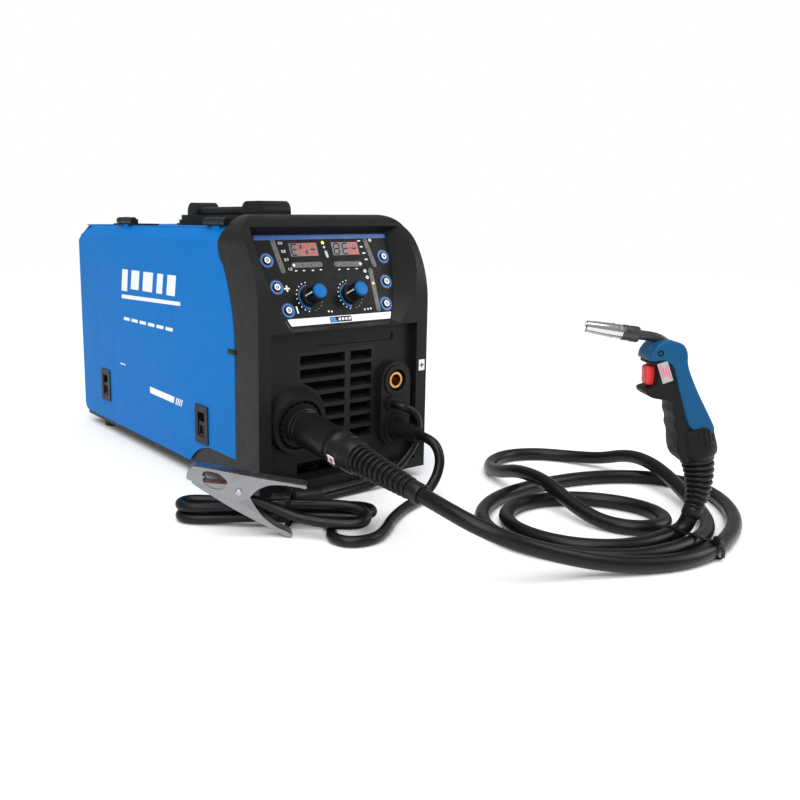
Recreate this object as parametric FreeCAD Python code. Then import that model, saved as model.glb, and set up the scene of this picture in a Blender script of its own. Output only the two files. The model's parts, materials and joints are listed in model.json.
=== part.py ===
import FreeCAD, Part
import math
import os

# Compact wire-fed arc welder with its gun, earth clamp and leads, in millimetres.
# X is across the front with the wire door on the -X side, Y runs from front to rear, Z is up.
# Everything is drawn with X = 0 in the middle of the case and moved by frame_shift when it is saved,
# so that the origin is on the floor in the middle of the footprint of the case, gun and clamp together.

V = FreeCAD.Vector
os.makedirs("parts", exist_ok=True)

# ---- driving dimensions -------------------------------------------------------------
case_width = 224.0
case_height = 274.0
case_depth = 488.0
front_y = -90.0
frame_shift = V(8.5, 0, 0)
foot_height = 12.0
sheet = 1.5
door_sheet = 1.2
plastic = 3.0
gap = 0.4
running = 0.05

half_width = case_width / 2
hood_height = case_height + 13.0
bezel_depth = 46.5
wing_width = 15.0
recess_depth = 10.0
recess_height = 168.0

fascia_tilt = 23.0
fascia_depth = 9.5
fascia_base = 173.0
fascia_height = 101.0
fascia_half_bottom = 66.0
fascia_half_middle = 82.5
fascia_half_top = 88.0
fascia_thickness = 2.0

door_bottom = 6.0
door_chamfer = 13.5
arch_height = 31.0
door_corner = 12.0
hinge_x = -half_width + 12.0
hinge_height = 5.5
hinge_radius = 4.6
hinge_pin = 2.0
hinge_knuckle = 46.0
hinge_side_gap = 0.4
hinge_places = [(103.0, 46.0), (344.0, 108.0)]
latch_places = [(405.0, 54.5), (122.0, 54.5)]
latch_size = (30.0, 44.0)
latch_rim = 3.0

boss_x = -62.0
boss_height = 71.8
boss_droop = 7.5
boss_radius = 32.0
boss_bore = 27.0
pod_x = 69.0
pod_half_width = 21.0
socket_upper = 105.0
socket_lower = 50.0
socket_pin_bore = 13.2
collar_radius = 17.0

spool_radius = 100.0
spool_width = 53.0
spool_bore = 26.0
spool_core = 52.0
spool_flange = 3.0
drive_roll_radius = 15.0
pressure_roll_radius = 13.0
wire_diameter = 0.8

lead_diameter = 10.5
cable_diameter = 14.5


# ---- helpers ------------------------------------------------------------------------
def deep(d):
    """Y of a point d behind the front plane."""
    return front_y + d


def high(h):
    """Z of a point h above the underside of the case."""
    return foot_height + h


def block(x0, x1, y0, y1, z0, z1):
    return Part.makeBox(x1 - x0, y1 - y0, z1 - z0, V(x0, y0, z0))


def rod(radius, start, direction, length):
    return Part.makeCylinder(radius, length, start, direction)


def ring(outer, inner, start, direction, length):
    return rod(outer, start, direction, length).cut(rod(inner, start, direction, length))


def taper(r0, r1, start, direction, length):
    return Part.makeCone(r0, r1, length, start, direction)


def extrude(edges, direction):
    face = Part.Face(Part.Wire(edges))
    return face.extrude(direction)


def polyline(points):
    closed = points + [points[0]]
    return [Part.LineSegment(closed[i], closed[i + 1]).toShape() for i in range(len(points))]


def line(a, b):
    return Part.LineSegment(a, b).toShape()


def arc(a, b, c):
    return Part.Arc(a, b, c).toShape()


def rounded_box(x0, x1, y0, y1, z0, z1, radius, axis="Z"):
    body = block(x0, x1, y0, y1, z0, z1)
    along = {"X": V(1, 0, 0), "Y": V(0, 1, 0), "Z": V(0, 0, 1)}[axis]
    edges = [e for e in body.Edges if abs(e.tangentAt(e.FirstParameter).dot(along)) > 0.99]
    return body.makeFillet(radius, edges)


def fuse(shapes):
    body = shapes[0]
    for other in shapes[1:]:
        body = body.fuse(other)
    return body.removeSplitter()


def cut(body, tools):
    for tool in tools:
        body = body.cut(tool)
    return body


def save(name, *solids):
    shape = solids[0].copy() if len(solids) == 1 else Part.makeCompound(list(solids))
    shape.translate(frame_shift)
    shape.exportStep("parts/" + name + ".step")
    sizes = shape.BoundBox
    count = len(shape.Solids)
    print(name, count, shape.isValid(), round(shape.Volume / 1000, 2), "cm3",
          [round(v, 1) for v in (sizes.XMin, sizes.YMin, sizes.ZMin, sizes.XMax, sizes.YMax, sizes.ZMax)])


# ---- case shell ---------------------------------------------------------------------
def side_boundary(x, offset):
    """Edge between the front bezel and the wire door, from the top down to the arch."""
    top = V(x, deep(70 + offset), high(case_height))
    bulge = V(x, deep(79 + offset), high(257))
    shoulder = V(x, deep(69 + offset), high(236))
    neck = V(x, deep(54 + offset), high(200))
    waist = V(x, deep(bezel_depth + offset), high(150))
    return [arc(top, bulge, shoulder), arc(shoulder, neck, waist)], top, waist


def bezel_side_face(x):
    edges, top, waist = side_boundary(x, 0)
    foot_rear = V(x, deep(bezel_depth), high(0))
    foot_front = V(x, deep(0), high(0))
    brow_low = V(x, deep(0), high(192))
    brow_mid = V(x, deep(12), high(240))
    brow_high = V(x, deep(38), high(274))
    crown = V(x, deep(58), high(hood_height))
    rear_crown = V(x, deep(68), high(hood_height))
    crown_bend = V(x, deep(46), high(283))
    edges = edges + [
        line(waist, foot_rear),
        line(foot_rear, foot_front),
        line(foot_front, brow_low),
        arc(brow_low, brow_mid, brow_high),
        arc(brow_high, crown_bend, crown),
        line(crown, rear_crown),
        line(rear_crown, top),
    ]
    return Part.Wire(Part.sortEdges(edges)[0])


fascia_origin = V(0, deep(fascia_depth), high(fascia_base))
fascia_up = V(0, math.sin(math.radians(fascia_tilt)), math.cos(math.radians(fascia_tilt)))
fascia_out = V(0, -math.cos(math.radians(fascia_tilt)), math.sin(math.radians(fascia_tilt)))


def on_fascia(u, v, n=0.0):
    """Point u across, v up the slope and n out of the control fascia."""
    return fascia_origin + V(u, 0, 0) + fascia_up * v + fascia_out * n


def fascia_outline(grow, n, rise=0.0, drop=0.0):
    low = -grow - drop
    top = fascia_height + grow + rise
    middle = fascia_height * 0.45
    a = on_fascia(-fascia_half_bottom - grow, low, n)
    b = on_fascia(fascia_half_bottom + grow, low, n)
    c = on_fascia(fascia_half_top + grow, top, n)
    d = on_fascia(-fascia_half_top - grow, top, n)
    right = on_fascia(fascia_half_middle + grow, middle, n)
    left = on_fascia(-fascia_half_middle - grow, middle, n)
    return Part.Wire([line(a, b), arc(b, right, c), line(c, d), arc(d, left, a)])


def fascia_plate(grow, n0, n1):
    return Part.Face(fascia_outline(grow, n0)).extrude(fascia_out * (n1 - n0))


boss_axis = V(0, -math.cos(math.radians(boss_droop)), -math.sin(math.radians(boss_droop)))
boss_face = V(boss_x, deep(0), high(boss_height))


def on_boss(s):
    """Point s ahead of the gun socket's face along its axis."""
    return boss_face + boss_axis * s


def pod_outline(grow, y):
    x0 = pod_x - pod_half_width - grow
    x1 = pod_x + pod_half_width + grow
    r = pod_half_width + grow
    z0 = high(socket_lower)
    z1 = high(socket_upper)
    return Part.Wire([
        line(V(x0, y, z0), V(x0, y, z1)),
        arc(V(x0, y, z1), V(pod_x, y, z1 + r), V(x1, y, z1)),
        line(V(x1, y, z1), V(x1, y, z0)),
        arc(V(x1, y, z0), V(pod_x, y, z0 - r), V(x0, y, z0)),
    ])


grille_left = -58.0
grille_right = 43.0
grille_low = 42.0
grille_top = 146.0
grille_rows = 7
grille_rib = 7.5
bottom_slot_left = -59.0
bottom_slot_right = 20.0
bottom_slot_low = 14.0
bottom_slot_high = 27.0
lead_gland_x = pod_x - 7.0
lead_gland_height = 79.0
polarity_diameter = 9.0


def grille_space(grow):
    body = block(grille_left - grow, grille_right + grow, deep(recess_depth - 6), deep(recess_depth + 14),
                 high(grille_low) - grow, high(grille_top) + grow)
    return body.cut(rod(boss_radius + 6.5 - grow, on_boss(-40), boss_axis, 80))


hood_corner = 30.0
chin_height = 11.0
dish_border = 1.0
dish_flare = 20.0
dish_depth = 30.0
dish_brow = -14.0
dish_sill = 6.0
fascia_ledge = 2.5
boss_flare = 5.0
boss_proud = 1.0
pod_proud = -1.5
label_slot = (-32.0, 70.0, 150.0, 158.0)


def front_bezel():
    body = Part.Face(bezel_side_face(-half_width)).extrude(V(case_width, 0, 0))
    outline = rounded_box(-half_width, half_width, deep(-5), deep(100), high(-2 * hood_corner),
                          high(hood_height), hood_corner, "Y")
    body = body.common(outline)
    dish_mouth = fascia_outline(dish_border + dish_flare, dish_depth, dish_brow, dish_sill)
    dish = Part.makeLoft([fascia_outline(dish_border, 0.0), dish_mouth], True, True)
    recess_x = half_width - wing_width
    lower = block(-recess_x, recess_x, deep(-1), deep(recess_depth), high(chin_height), high(recess_height))
    cavity_side = [
        V(-half_width + plastic, deep(recess_depth + 5), high(plastic)),
        V(-half_width + plastic, deep(recess_depth + 5), high(fascia_base - 4)),
        V(-half_width + plastic, deep(64), high(case_height - 7)),
        V(-half_width + plastic, deep(100), high(case_height - 7)),
        V(-half_width + plastic, deep(100), high(plastic)),
    ]
    cavity = extrude(polyline(cavity_side), V(case_width - 2 * plastic, 0, 0))
    body = cut(body, [lower, dish, cavity])
    # Raised collars: the gun socket boss and the pod that holds both output sockets.
    boss = taper(boss_radius + boss_flare, boss_radius, on_boss(-recess_depth - boss_flare), boss_axis,
                 recess_depth + boss_flare + boss_proud)
    boss = boss.common(block(-half_width, 0, deep(-10), deep(recess_depth + 5), 0, high(recess_height)))
    pod = Part.Face(pod_outline(0.0, deep(-pod_proud))).extrude(V(0, recess_depth + 2.0, 0))
    body = fuse([body, boss, pod])
    slot_left, slot_right, slot_low, slot_high = label_slot
    tools = [
        rod(boss_bore, on_boss(-60), boss_axis, 80),
        fascia_plate(gap / 2, -fascia_thickness, 3.0),
        fascia_plate(-fascia_ledge, -30.0, 1.0),
        grille_space(0.0),
        block(bottom_slot_left, bottom_slot_right, deep(-5), deep(30),
              high(bottom_slot_low), high(bottom_slot_high)),
        block(slot_left, slot_right, deep(recess_depth - 1), deep(recess_depth + 2),
              high(slot_low), high(slot_high)),
    ]
    for height in (socket_upper, socket_lower):
        tools.append(rod(collar_radius, V(pod_x, deep(-5), high(height)), V(0, 1, 0), 40))
    gland_start = V(lead_gland_x, deep(-5), high(lead_gland_height))
    tools.append(rod(polarity_diameter / 2 + 3.0, gland_start, V(0, 1, 0), 40))
    return cut(body, tools)


def louvre(x0, x1, z0, z1):
    slope = 4.0
    y0 = deep(recess_depth - 1)
    y1 = deep(recess_depth + 15)
    points = [V(x0, y0, z0), V(x0, y0, z1), V(x0, y1, z1 + slope), V(x0, y1, z0 + slope)]
    return extrude(polyline(points), V(x1 - x0, 0, 0))


def front_grille():
    body = grille_space(-0.1).common(block(-200, 200, deep(recess_depth), deep(recess_depth + 9), 0, 400))
    border = 3.0
    rib_x = (grille_left + grille_right) / 2 + 14.5
    pitch = (grille_top - grille_low - border) / grille_rows
    tools = []
    for row in range(grille_rows):
        z0 = high(grille_low) + border + row * pitch
        z1 = z0 + pitch - 4.5
        tools.append(louvre(grille_left + border, rib_x - grille_rib / 2, z0, z1))
        tools.append(louvre(rib_x + grille_rib / 2, grille_right - border, z0, z1))
    collar = rod(boss_radius + 8.0, on_boss(-40), boss_axis, 80)
    tools = [tool.cut(collar) for tool in tools]
    return cut(body, tools)


button_places = [(77.5, 73.0), (72.8, 43.5), (65.0, 18.0)]
button_radius = 4.4
button_travel = 0.8
knob_places = {"left_knob": (-35.0, 31.0), "right_knob": (19.0, 31.0)}
knob_radius = 8.5
knob_height = 22.0
knob_stem = 3.0
display_places = [-28.5, 27.0]
display_size = (36.5, 15.5)
display_v = 84.0
board_n = -12.0
board_thickness = 1.6
board_posts = ((50.0, 6.0), (66.0, 92.0))
board_post_radius = 3.0
encoder_radius = 7.0
encoder_height = 5.0
encoder_bush = 4.5
key_switch = 7.0


def fascia_panel():
    body = fascia_plate(0.0, -fascia_thickness, 0.0)
    tools = []
    for side in (-1, 1):
        for u, v in button_places:
            tools.append(rod(button_radius + gap, on_fascia(side * u, v, -5), fascia_out, 10))
    for u, v in knob_places.values():
        tools.append(rod(knob_stem + gap, on_fascia(u, v, -5), fascia_out, 10))
    for u in display_places:
        tools.append(fascia_block(u, display_v, display_size[0], display_size[1], -5, 5))
    return cut(body, tools)


def fascia_block(u, v, width, height, n0, n1):
    corners = [(-0.5, -0.5), (0.5, -0.5), (0.5, 0.5), (-0.5, 0.5)]
    points = [on_fascia(u + a * width, v + b * height, n0) for a, b in corners]
    return extrude(polyline(points), fascia_out * (n1 - n0))


def control_board():
    board = fascia_plate(-6.0, board_n, board_n + board_thickness)
    face = board_n + board_thickness
    parts = [board]
    for u in display_places:
        parts.append(fascia_block(u, display_v, display_size[0] - 0.8, display_size[1] - 0.8, face, -0.4))
    for u, v in knob_places.values():
        encoder = rod(encoder_radius, on_fascia(u, v, face), fascia_out, encoder_height)
        bush = rod(encoder_bush, on_fascia(u, v, face), fascia_out, -face - fascia_thickness)
        parts.append(encoder.fuse(bush))
    for side in (-1, 1):
        for u, v in button_places:
            parts.append(fascia_block(side * u, v, key_switch, key_switch, face, face + key_switch / 2))
        for u, v in board_posts:
            post_length = -face - fascia_thickness
            parts.append(rod(board_post_radius, on_fascia(side * u, v, face), fascia_out, post_length))
    bores = []
    for u, v in knob_places.values():
        bores.append(rod(knob_stem + running, on_fascia(u, v, board_n - 1), fascia_out, 20))
    return cut(fuse(parts), bores)


def knob(u, v):
    skirt = taper(knob_radius + 1.5, knob_radius, on_fascia(u, v, 0.6), fascia_out, 4.0)
    grip = rod(knob_radius, on_fascia(u, v, 0.6), fascia_out, knob_height - 0.6)
    stem = rod(knob_stem, on_fascia(u, v, board_n), fascia_out, 4 - board_n)
    return fuse([skirt, grip, stem])


def button(u, v):
    cap = rod(button_radius, on_fascia(u, v, -3.0), fascia_out, 3.0 + 1.4)
    flange = rod(button_radius + 0.9, on_fascia(u, v, -3.4), fascia_out, 1.1)
    switch_top = board_n + board_thickness + key_switch / 2
    stem_start = on_fascia(u, v, switch_top + button_travel + 0.2)
    stem = rod(1.6, stem_start, fascia_out, -3.0 - switch_top - button_travel)
    return fuse([cap, flange, stem])


save("front_bezel", front_bezel())
save("front_grille", front_grille())
save("fascia_panel", fascia_panel())
save("control_board", control_board())
for name, (u, v) in knob_places.items():
    save(name, knob(u, v))
for word, (u, v) in zip(("top", "middle", "bottom"), button_places):
    save("button_left_" + word, button(-u, v))
    save("button_right_" + word, button(u, v))


# ---- case panels --------------------------------------------------------------------
rear_inset = 4.0
sill_height = 34.0
cover_top_left = hinge_x + 1.0
handle_front = 128.0
handle_rear = 342.0
handle_half_width = 40.0
handle_corner = 38.0
well_depth = 22.0
cover_front = 80.0
side_front_height = 150.0
vent_rows = 9
vent_start = 300.0
vent_length = 60.0
vent_height = 5.0
vent_space = 16.0
vent_low = 70.0
vent_pitch = 14.0
rear_slot = 4.0
rear_slot_space = 4.5
fan_opening = 42.0
partition_x = -2.0
feeder_reach = 95.0
motor_radius = 24.0
fan_x = 52.0
fan_height = 150.0
fan_size = 92.0
switch_x = 74.0
switch_height = 236.0
switch_size = (22.0, 30.0)
gland_place = (74.0, 40.0)
gas_place = (-40.0, 40.0)
foot_radius = 14.0
foot_places = [(x, y) for x in (-90.0, 90.0) for y in (62.0, 440.0)]


def sheet_strip(points, thickness, inward, y0, y1):
    """Bent sheet of one thickness that follows points (x, z), extruded from y0 to y1."""
    outer = [V(x, y0, z) for x, z in points]
    inner = [V(x + dx * thickness, y0, z + dz * thickness) for (x, z), (dx, dz) in zip(points, inward)]
    return extrude(polyline(outer + inner[::-1]), V(0, y1 - y0, 0))


def base_pan():
    y0 = deep(bezel_depth + 2)
    y1 = deep(case_depth - rear_inset - sheet)
    x0 = -half_width + door_sheet + 1.2
    x1 = half_width - sheet - 0.2
    z = high(0)
    floor = block(x0, x1, y0, y1, z, z + sheet)
    sill = block(x0, x0 + sheet, y0, y1, z, high(sill_height))
    lip = block(x1 - sheet, x1, y0, y1, z, high(14))
    body = fuse([floor, sill, lip])
    slots = [block(20, 90, deep(120 + 14 * i), deep(126 + 14 * i), z - 1, z + 3) for i in range(12)]
    holes = [rod(2.2, V(x, deep(y), z - 1), V(0, 0, 1), 5) for x, y in foot_places]
    return cut(body, slots + holes)


def rounded_hand_well(grow, z0, z1):
    half = handle_half_width + grow
    front = deep(handle_front) - grow
    rear = deep(handle_rear) + grow
    return rounded_box(-half, half, front, rear, z0, z1, handle_corner + grow)


def case_cover():
    y0 = deep(cover_front)
    y1 = deep(case_depth)
    top = high(case_height)
    points = [
        (half_width, high(0)),
        (half_width, top - door_chamfer),
        (half_width - door_chamfer, top),
        (cover_top_left, top),
    ]
    inward = [(-1, 0), (-1, -0.41), (-0.41, -1), (0, -1)]
    body = sheet_strip(points, sheet, inward, y0, y1)
    side_front = block(half_width - sheet, half_width, deep(bezel_depth), y0, high(0), high(side_front_height))
    body = fuse([body, side_front])
    vents = []
    for row in range(vent_rows):
        for column in range(2):
            y = deep(vent_start + (vent_length + vent_space) * column)
            z = high(vent_low + vent_pitch * row)
            vents.append(block(half_width - 5, half_width + 1, y, y + vent_length, z, z + vent_height))
    return cut(body, vents + [rounded_hand_well(-plastic + gap, top - 40, top + 5)])


def rear_panel():
    y = deep(case_depth - rear_inset - sheet)
    x0 = -half_width + door_sheet + 1.2
    x1 = half_width - sheet - 0.2
    eave = high(case_height) - door_chamfer - 1.0
    body = block(x0, x1, y, y + sheet, high(0), eave)
    shoulder = extrude(polyline([
        V(x0, y, eave),
        V(x1, y, eave),
        V(x1 - door_chamfer + 0.3, y, high(case_height) - sheet - 0.2),
        V(hinge_x + 2, y, high(case_height) - sheet - 0.2),
    ]), V(0, sheet, 0))
    body = fuse([body, shoulder])
    tools = []
    for row in range(-4, 5):
        rise = row * (rear_slot + rear_slot_space)
        z = high(fan_height) + rise
        reach = math.sqrt(fan_opening ** 2 - rise ** 2)
        tools.append(block(fan_x - reach, fan_x + reach, y - 1, y + 5, z - rear_slot / 2, z + rear_slot / 2))
    w, h = switch_size
    z = high(switch_height)
    tools.append(block(switch_x - w / 2, switch_x + w / 2, y - 1, y + 5, z - h / 2, z + h / 2))
    for (x, height), r in ((gland_place, 10.2), (gas_place, 6.2)):
        tools.append(rod(r, V(x, y - 1, high(height)), V(0, 1, 0), 5))
    return cut(body, tools)


feeder_up = V(0, -math.sin(math.radians(boss_droop)), math.cos(math.radians(boss_droop)))


def feeder_point(s, rise):
    """Place s behind the gun socket's face and rise above the wire line."""
    return on_boss(-s) + feeder_up * rise


def feeder_block(x0, x1, s0, s1, r0, r1):
    points = [feeder_point(s, r) for s, r in ((s0, r0), (s1, r0), (s1, r1), (s0, r1))]
    points = [V(x0, p.y, p.z) for p in points]
    return extrude(polyline(points), V(x1 - x0, 0, 0))


def across(s, rise, x):
    p = feeder_point(s, rise)
    return V(x, p.y, p.z)


drive_rise = -drive_roll_radius - wire_diameter / 2
press_rise = pressure_roll_radius + wire_diameter / 2
hub_height = 150.0
hub_depth = 372.0


def centre_partition():
    body = block(partition_x, partition_x + sheet, deep(54), deep(case_depth - rear_inset - sheet - 1),
                 high(sheet), high(case_height - 28))
    front = block(partition_x - 1, partition_x + 3, deep(50), deep(90), high(150), high(290))
    motor_hole = rod(motor_radius + 3, across(feeder_reach, drive_rise, partition_x - 2), V(1, 0, 0), 10)
    foot = block(partition_x - 8, partition_x + sheet, deep(60), deep(480), high(sheet), high(2 * sheet))
    return fuse([body.cut(front).cut(motor_hole), foot])


def side_door():
    y0 = deep(40)
    y1 = deep(case_depth + 2)
    top = high(case_height)
    points = [(-half_width, high(door_bottom)), (-half_width, top - door_chamfer), (hinge_x - 0.5, top - 1.0)]
    inward = [(1, 0), (1, -0.41), (0.7, -0.7)]
    body = sheet_strip(points, door_sheet, inward, y0, y1)
    # Trim the front edge to the bezel's curve, the lower front corner to the arch, the rear corners round.
    edges, high_point, waist = side_boundary(-half_width - 5, 1.0)
    far = 60
    beyond = [
        line(waist, V(waist.x, waist.y, high(0) - 5)),
        line(V(waist.x, waist.y, high(0) - 5), V(waist.x, deep(-far), high(0) - 5)),
        line(V(waist.x, deep(-far), high(0) - 5), V(waist.x, deep(-far), high(case_height) + 20)),
        line(V(waist.x, deep(-far), high(case_height) + 20), V(waist.x, high_point.y, high(case_height) + 20)),
        line(V(waist.x, high_point.y, high(case_height) + 20), high_point),
    ]
    front_tool = Part.Face(Part.Wire(Part.sortEdges(edges + beyond)[0])).extrude(V(40, 0, 0))
    x = -half_width - 5
    arch_start = V(x, deep(30), high(arch_height))
    arch_bend = V(x, deep(96), high(arch_height))
    arch_middle = V(x, deep(132), high(23))
    arch_end = V(x, deep(156), high(door_bottom) - 2)
    arch_foot = V(x, deep(30), high(door_bottom) - 2)
    arch_edges = [line(arch_start, arch_bend), arc(arch_bend, arch_middle, arch_end), line(arch_end, arch_foot),
                  line(arch_foot, arch_start)]
    arch = Part.Face(Part.Wire(Part.sortEdges(arch_edges)[0])).extrude(V(30, 0, 0))
    rear_round = rounded_box(x, 0, deep(-100), deep(case_depth + 2), high(door_bottom), high(600),
                             door_corner, "X")
    rear_clip = extrude(polyline([
        V(x, deep(case_depth + 4), high(250)),
        V(x, deep(case_depth + 4), high(300)),
        V(x, deep(case_depth - 28), high(300)),
        V(x, deep(case_depth - 28), high(case_height)),
    ]), V(60, 0, 0))
    body = cut(body, [front_tool, arch, rear_clip]).common(rear_round)
    windows = []
    for y, z in latch_places:
        half_w = latch_size[0] / 2 - latch_rim
        half_h = latch_size[1] / 2 - latch_rim
        windows.append(block(x, -half_width + 5, deep(y - half_w), deep(y + half_w),
                             high(z - half_h), high(z + half_h)))
    body = cut(body, windows)
    knuckles = []
    for y, leaf in hinge_places:
        half = hinge_knuckle / 6 - hinge_side_gap
        knuckles.append(hinge_barrel(y - half, y + half))
        knuckles.append(block(hinge_x - 1.6, hinge_x - 0.2, deep(y - half), deep(y + half),
                              high(case_height) - 4, high(case_height) + hinge_height))
    pins = [rod(hinge_pin + running, V(hinge_x, deep(y - 40), high(case_height + hinge_height)), V(0, 1, 0), 80)
            for y, leaf in hinge_places]
    return cut(fuse([body] + knuckles), pins)


def hinge_barrel(d0, d1):
    return rod(hinge_radius, V(hinge_x, deep(d0), high(case_height + hinge_height)), V(0, 1, 0), d1 - d0)


def hinge_brackets():
    solids = []
    for y, leaf in hinge_places:
        third = hinge_knuckle / 6
        ends = [(y - hinge_knuckle / 2, y - third), (y + third, y + hinge_knuckle / 2)]
        parts = [block(hinge_x + 4.2, hinge_x + 20, deep(y - leaf / 2), deep(y + leaf / 2),
                       high(case_height), high(case_height) + 2.0)]
        for d0, d1 in ends:
            parts.append(hinge_barrel(d0, d1))
            parts.append(block(hinge_x + 1.0, hinge_x + 6.0, deep(d0), deep(d1), high(case_height) + 0.1,
                               high(case_height) + hinge_height + 2))
        pin = rod(hinge_pin, V(hinge_x, deep(y - hinge_knuckle / 2), high(case_height + hinge_height)),
                  V(0, 1, 0), hinge_knuckle)
        solids.append(fuse(parts + [pin]))
    return solids


def latch_housings():
    solids = []
    for y, z in latch_places:
        w, h = latch_size
        x = -half_width
        rim = rounded_box(x - 1.6, x, deep(y - w / 2), deep(y + w / 2), high(z - h / 2), high(z + h / 2),
                          latch_rim, "X")
        inset = latch_rim + 0.2
        neck = block(x - 0.2, x + 6, deep(y - w / 2 + inset), deep(y + w / 2 - inset),
                     high(z - h / 2 + inset), high(z + h / 2 - inset))
        well = block(x - 3, x + 4.6, deep(y - 8), deep(y + 8), high(z - 14), high(z + 14))
        slot = block(x - 3, x + 8, deep(y - 4), deep(y + 4), high(z - 10), high(z + 10))
        solids.append(cut(fuse([rim, neck]), [well, slot]))
    return solids


def latch_slider(y, z):
    x = -half_width
    pad = block(x - 0.6, x + 4.2, deep(y - 7.6), deep(y + 7.6), high(z - 13.6), high(z + 3.6))
    pocket = block(x - 1, x + 1.5, deep(y - 5), deep(y + 5), high(z - 11), high(z - 1))
    tongue = block(x + 4.0, x + 9, deep(y - 3.6), deep(y + 3.6), high(z - 9.6), high(z))
    bolt = block(x + 6.6, x + 9, deep(y - 3.6), deep(y + 3.6), high(z - 20), high(z))
    return cut(fuse([pad, tongue, bolt]), [pocket])


def rubber_feet():
    solids = []
    for x, y in foot_places:
        solids.append(taper(foot_radius - 2, foot_radius, V(x, deep(y), 0), V(0, 0, 1), foot_height))
    return solids


def case_screws():
    solids = []
    for y in (110.0, 210.0, 310.0, 410.0):
        for z in (12.0, 200.0):
            place = V(half_width, deep(y), high(z))
            solids.append(taper(3.6, 2.6, place, V(1, 0, 0), 1.6))
    for x in (-90.0, 0.0, 96.0):
        for z in (14.0, 252.0):
            place = V(x, deep(case_depth - rear_inset), high(z))
            solids.append(taper(3.6, 2.6, place, V(0, 1, 0), 1.6))
    return solids


def carry_handle():
    top = high(case_height)
    rim_top = high(case_height + 13)
    shell = rounded_hand_well(-plastic, top - well_depth, rim_top)
    flange = rounded_hand_well(plastic, top, top + 2.5)
    collar = rounded_hand_well(0.0, top, top + 7.0)
    hollow = rounded_hand_well(-2 * plastic, top - well_depth + plastic, rim_top + 5)
    tray = cut(fuse([shell, flange, collar]), [hollow])
    bar_low = high(case_height + 10)
    bar = rounded_box(-13, 13, deep(handle_front + 12), deep(handle_rear - 10), bar_low, bar_low + 13, 5.5, "Y")
    posts = []
    front_post = (handle_front + 8.5, handle_front + 62, 18.0)
    rear_post = (handle_rear - 34, handle_rear - 8.5, 17.0)
    post_low = top - well_depth + 1
    for d0, d1, half in (front_post, rear_post):
        posts.append(rounded_box(-half, half, deep(d0), deep(d1), post_low, high(case_height + 29), 12.0, "X"))
    return fuse([tray, bar] + posts)


save("base_pan", base_pan())
save("case_cover", case_cover())
save("rear_panel", rear_panel())
save("centre_partition", centre_partition())
save("side_door", side_door())
save("hinge_brackets", *hinge_brackets())
save("latch_housings", *latch_housings())
save("latch_slider_rear", latch_slider(*latch_places[0]))
save("latch_slider_front", latch_slider(*latch_places[1]))
save("rubber_feet", *rubber_feet())
save("case_screws", *case_screws())
save("carry_handle", carry_handle())


# ---- wire feed ----------------------------------------------------------------------
plate_x = -44.0
plate_thickness = 4.0
arm_pivot = (feeder_reach - 42.0, press_rise + 4.0)
roll_width = 12.0
motor_length = 46.0
motor_shaft_radius = 4.0
motor_boss_radius = 11.0
motor_shaft_depth = 12.0
plate_front = 52.0
plate_rear = 48.0
plate_low = -44.0
plate_top = 34.0
arm_pin_radius = 3.0
guide_radius = 5.0
guide_bore = 1.6
inlet_length = 28.0
outlet_length = 34.0
stay_radius = 4.0
screw_radius = 2.5
screw_offset = 20.0
hub_flange = 48.0


def feeder_plate():
    forward = feeder_point(0, 0) - feeder_point(1, 0)
    plate = feeder_block(plate_x, plate_x + plate_thickness, feeder_reach - plate_front,
                         feeder_reach + plate_rear, plate_low, plate_top)
    shaft_hole = rod(motor_boss_radius + 1, across(feeder_reach, drive_rise, plate_x - 5), V(1, 0, 0), 20)
    arm_pin = rod(arm_pin_radius, across(*arm_pivot, boss_x - 8), V(1, 0, 0), plate_x - boss_x + 9)
    inlet = ring(guide_radius, guide_bore, feeder_point(feeder_reach + plate_rear, 0), forward, inlet_length)
    outlet = ring(guide_radius, guide_bore, feeder_point(feeder_reach - 22, 0), forward, outlet_length)
    inlet_arm = feeder_block(boss_x + 3.5, plate_x + 1, feeder_reach + 24, feeder_reach + 40, -4, 4)
    outlet_arm = feeder_block(boss_x + 3.5, plate_x + 1, feeder_reach - 50, feeder_reach - 38, -4, 4)
    stays = []
    for s, rise in ((feeder_reach - 40, -38), (feeder_reach + 40, -38), (feeder_reach + 40, 28)):
        stays.append(rod(stay_radius, across(s, rise, plate_x + plate_thickness), V(1, 0, 0),
                         partition_x - plate_x - plate_thickness))
    body = fuse([plate.cut(shaft_hole), arm_pin, inlet, outlet, inlet_arm, outlet_arm] + stays)
    wire_way = rod(guide_bore, feeder_point(feeder_reach + 60, 0), forward, 130)
    return body.cut(wire_way)


def feed_motor():
    x0 = plate_x + plate_thickness
    body = rod(motor_radius, across(feeder_reach, drive_rise, x0), V(1, 0, 0), motor_length)
    boss = rod(motor_boss_radius, across(feeder_reach, drive_rise, plate_x), V(1, 0, 0), plate_thickness)
    bore = rod(motor_shaft_radius + running, across(feeder_reach, drive_rise, plate_x - 1), V(1, 0, 0),
               plate_thickness + 1 + motor_shaft_depth + gap)
    return fuse([body, boss]).cut(bore)


def drive_roll():
    wheel = grooved_roll(drive_roll_radius, boss_x, feeder_reach, drive_rise, motor_shaft_radius)
    x0 = boss_x - roll_width / 2 - 1
    length = plate_x + plate_thickness + motor_shaft_depth - x0
    return fuse([wheel, rod(motor_shaft_radius, across(feeder_reach, drive_rise, x0), V(1, 0, 0), length)])


def grooved_roll(radius, place_x, s, rise, bore):
    x0 = place_x - roll_width / 2
    wheel = rod(radius, across(s, rise, x0), V(1, 0, 0), roll_width)
    groove = ring(radius + 1, radius - 0.5, across(s, rise, place_x - 0.6), V(1, 0, 0), 1.2)
    return cut(wheel, [groove, rod(bore, across(s, rise, x0 - 1), V(1, 0, 0), roll_width + 2)])


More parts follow.
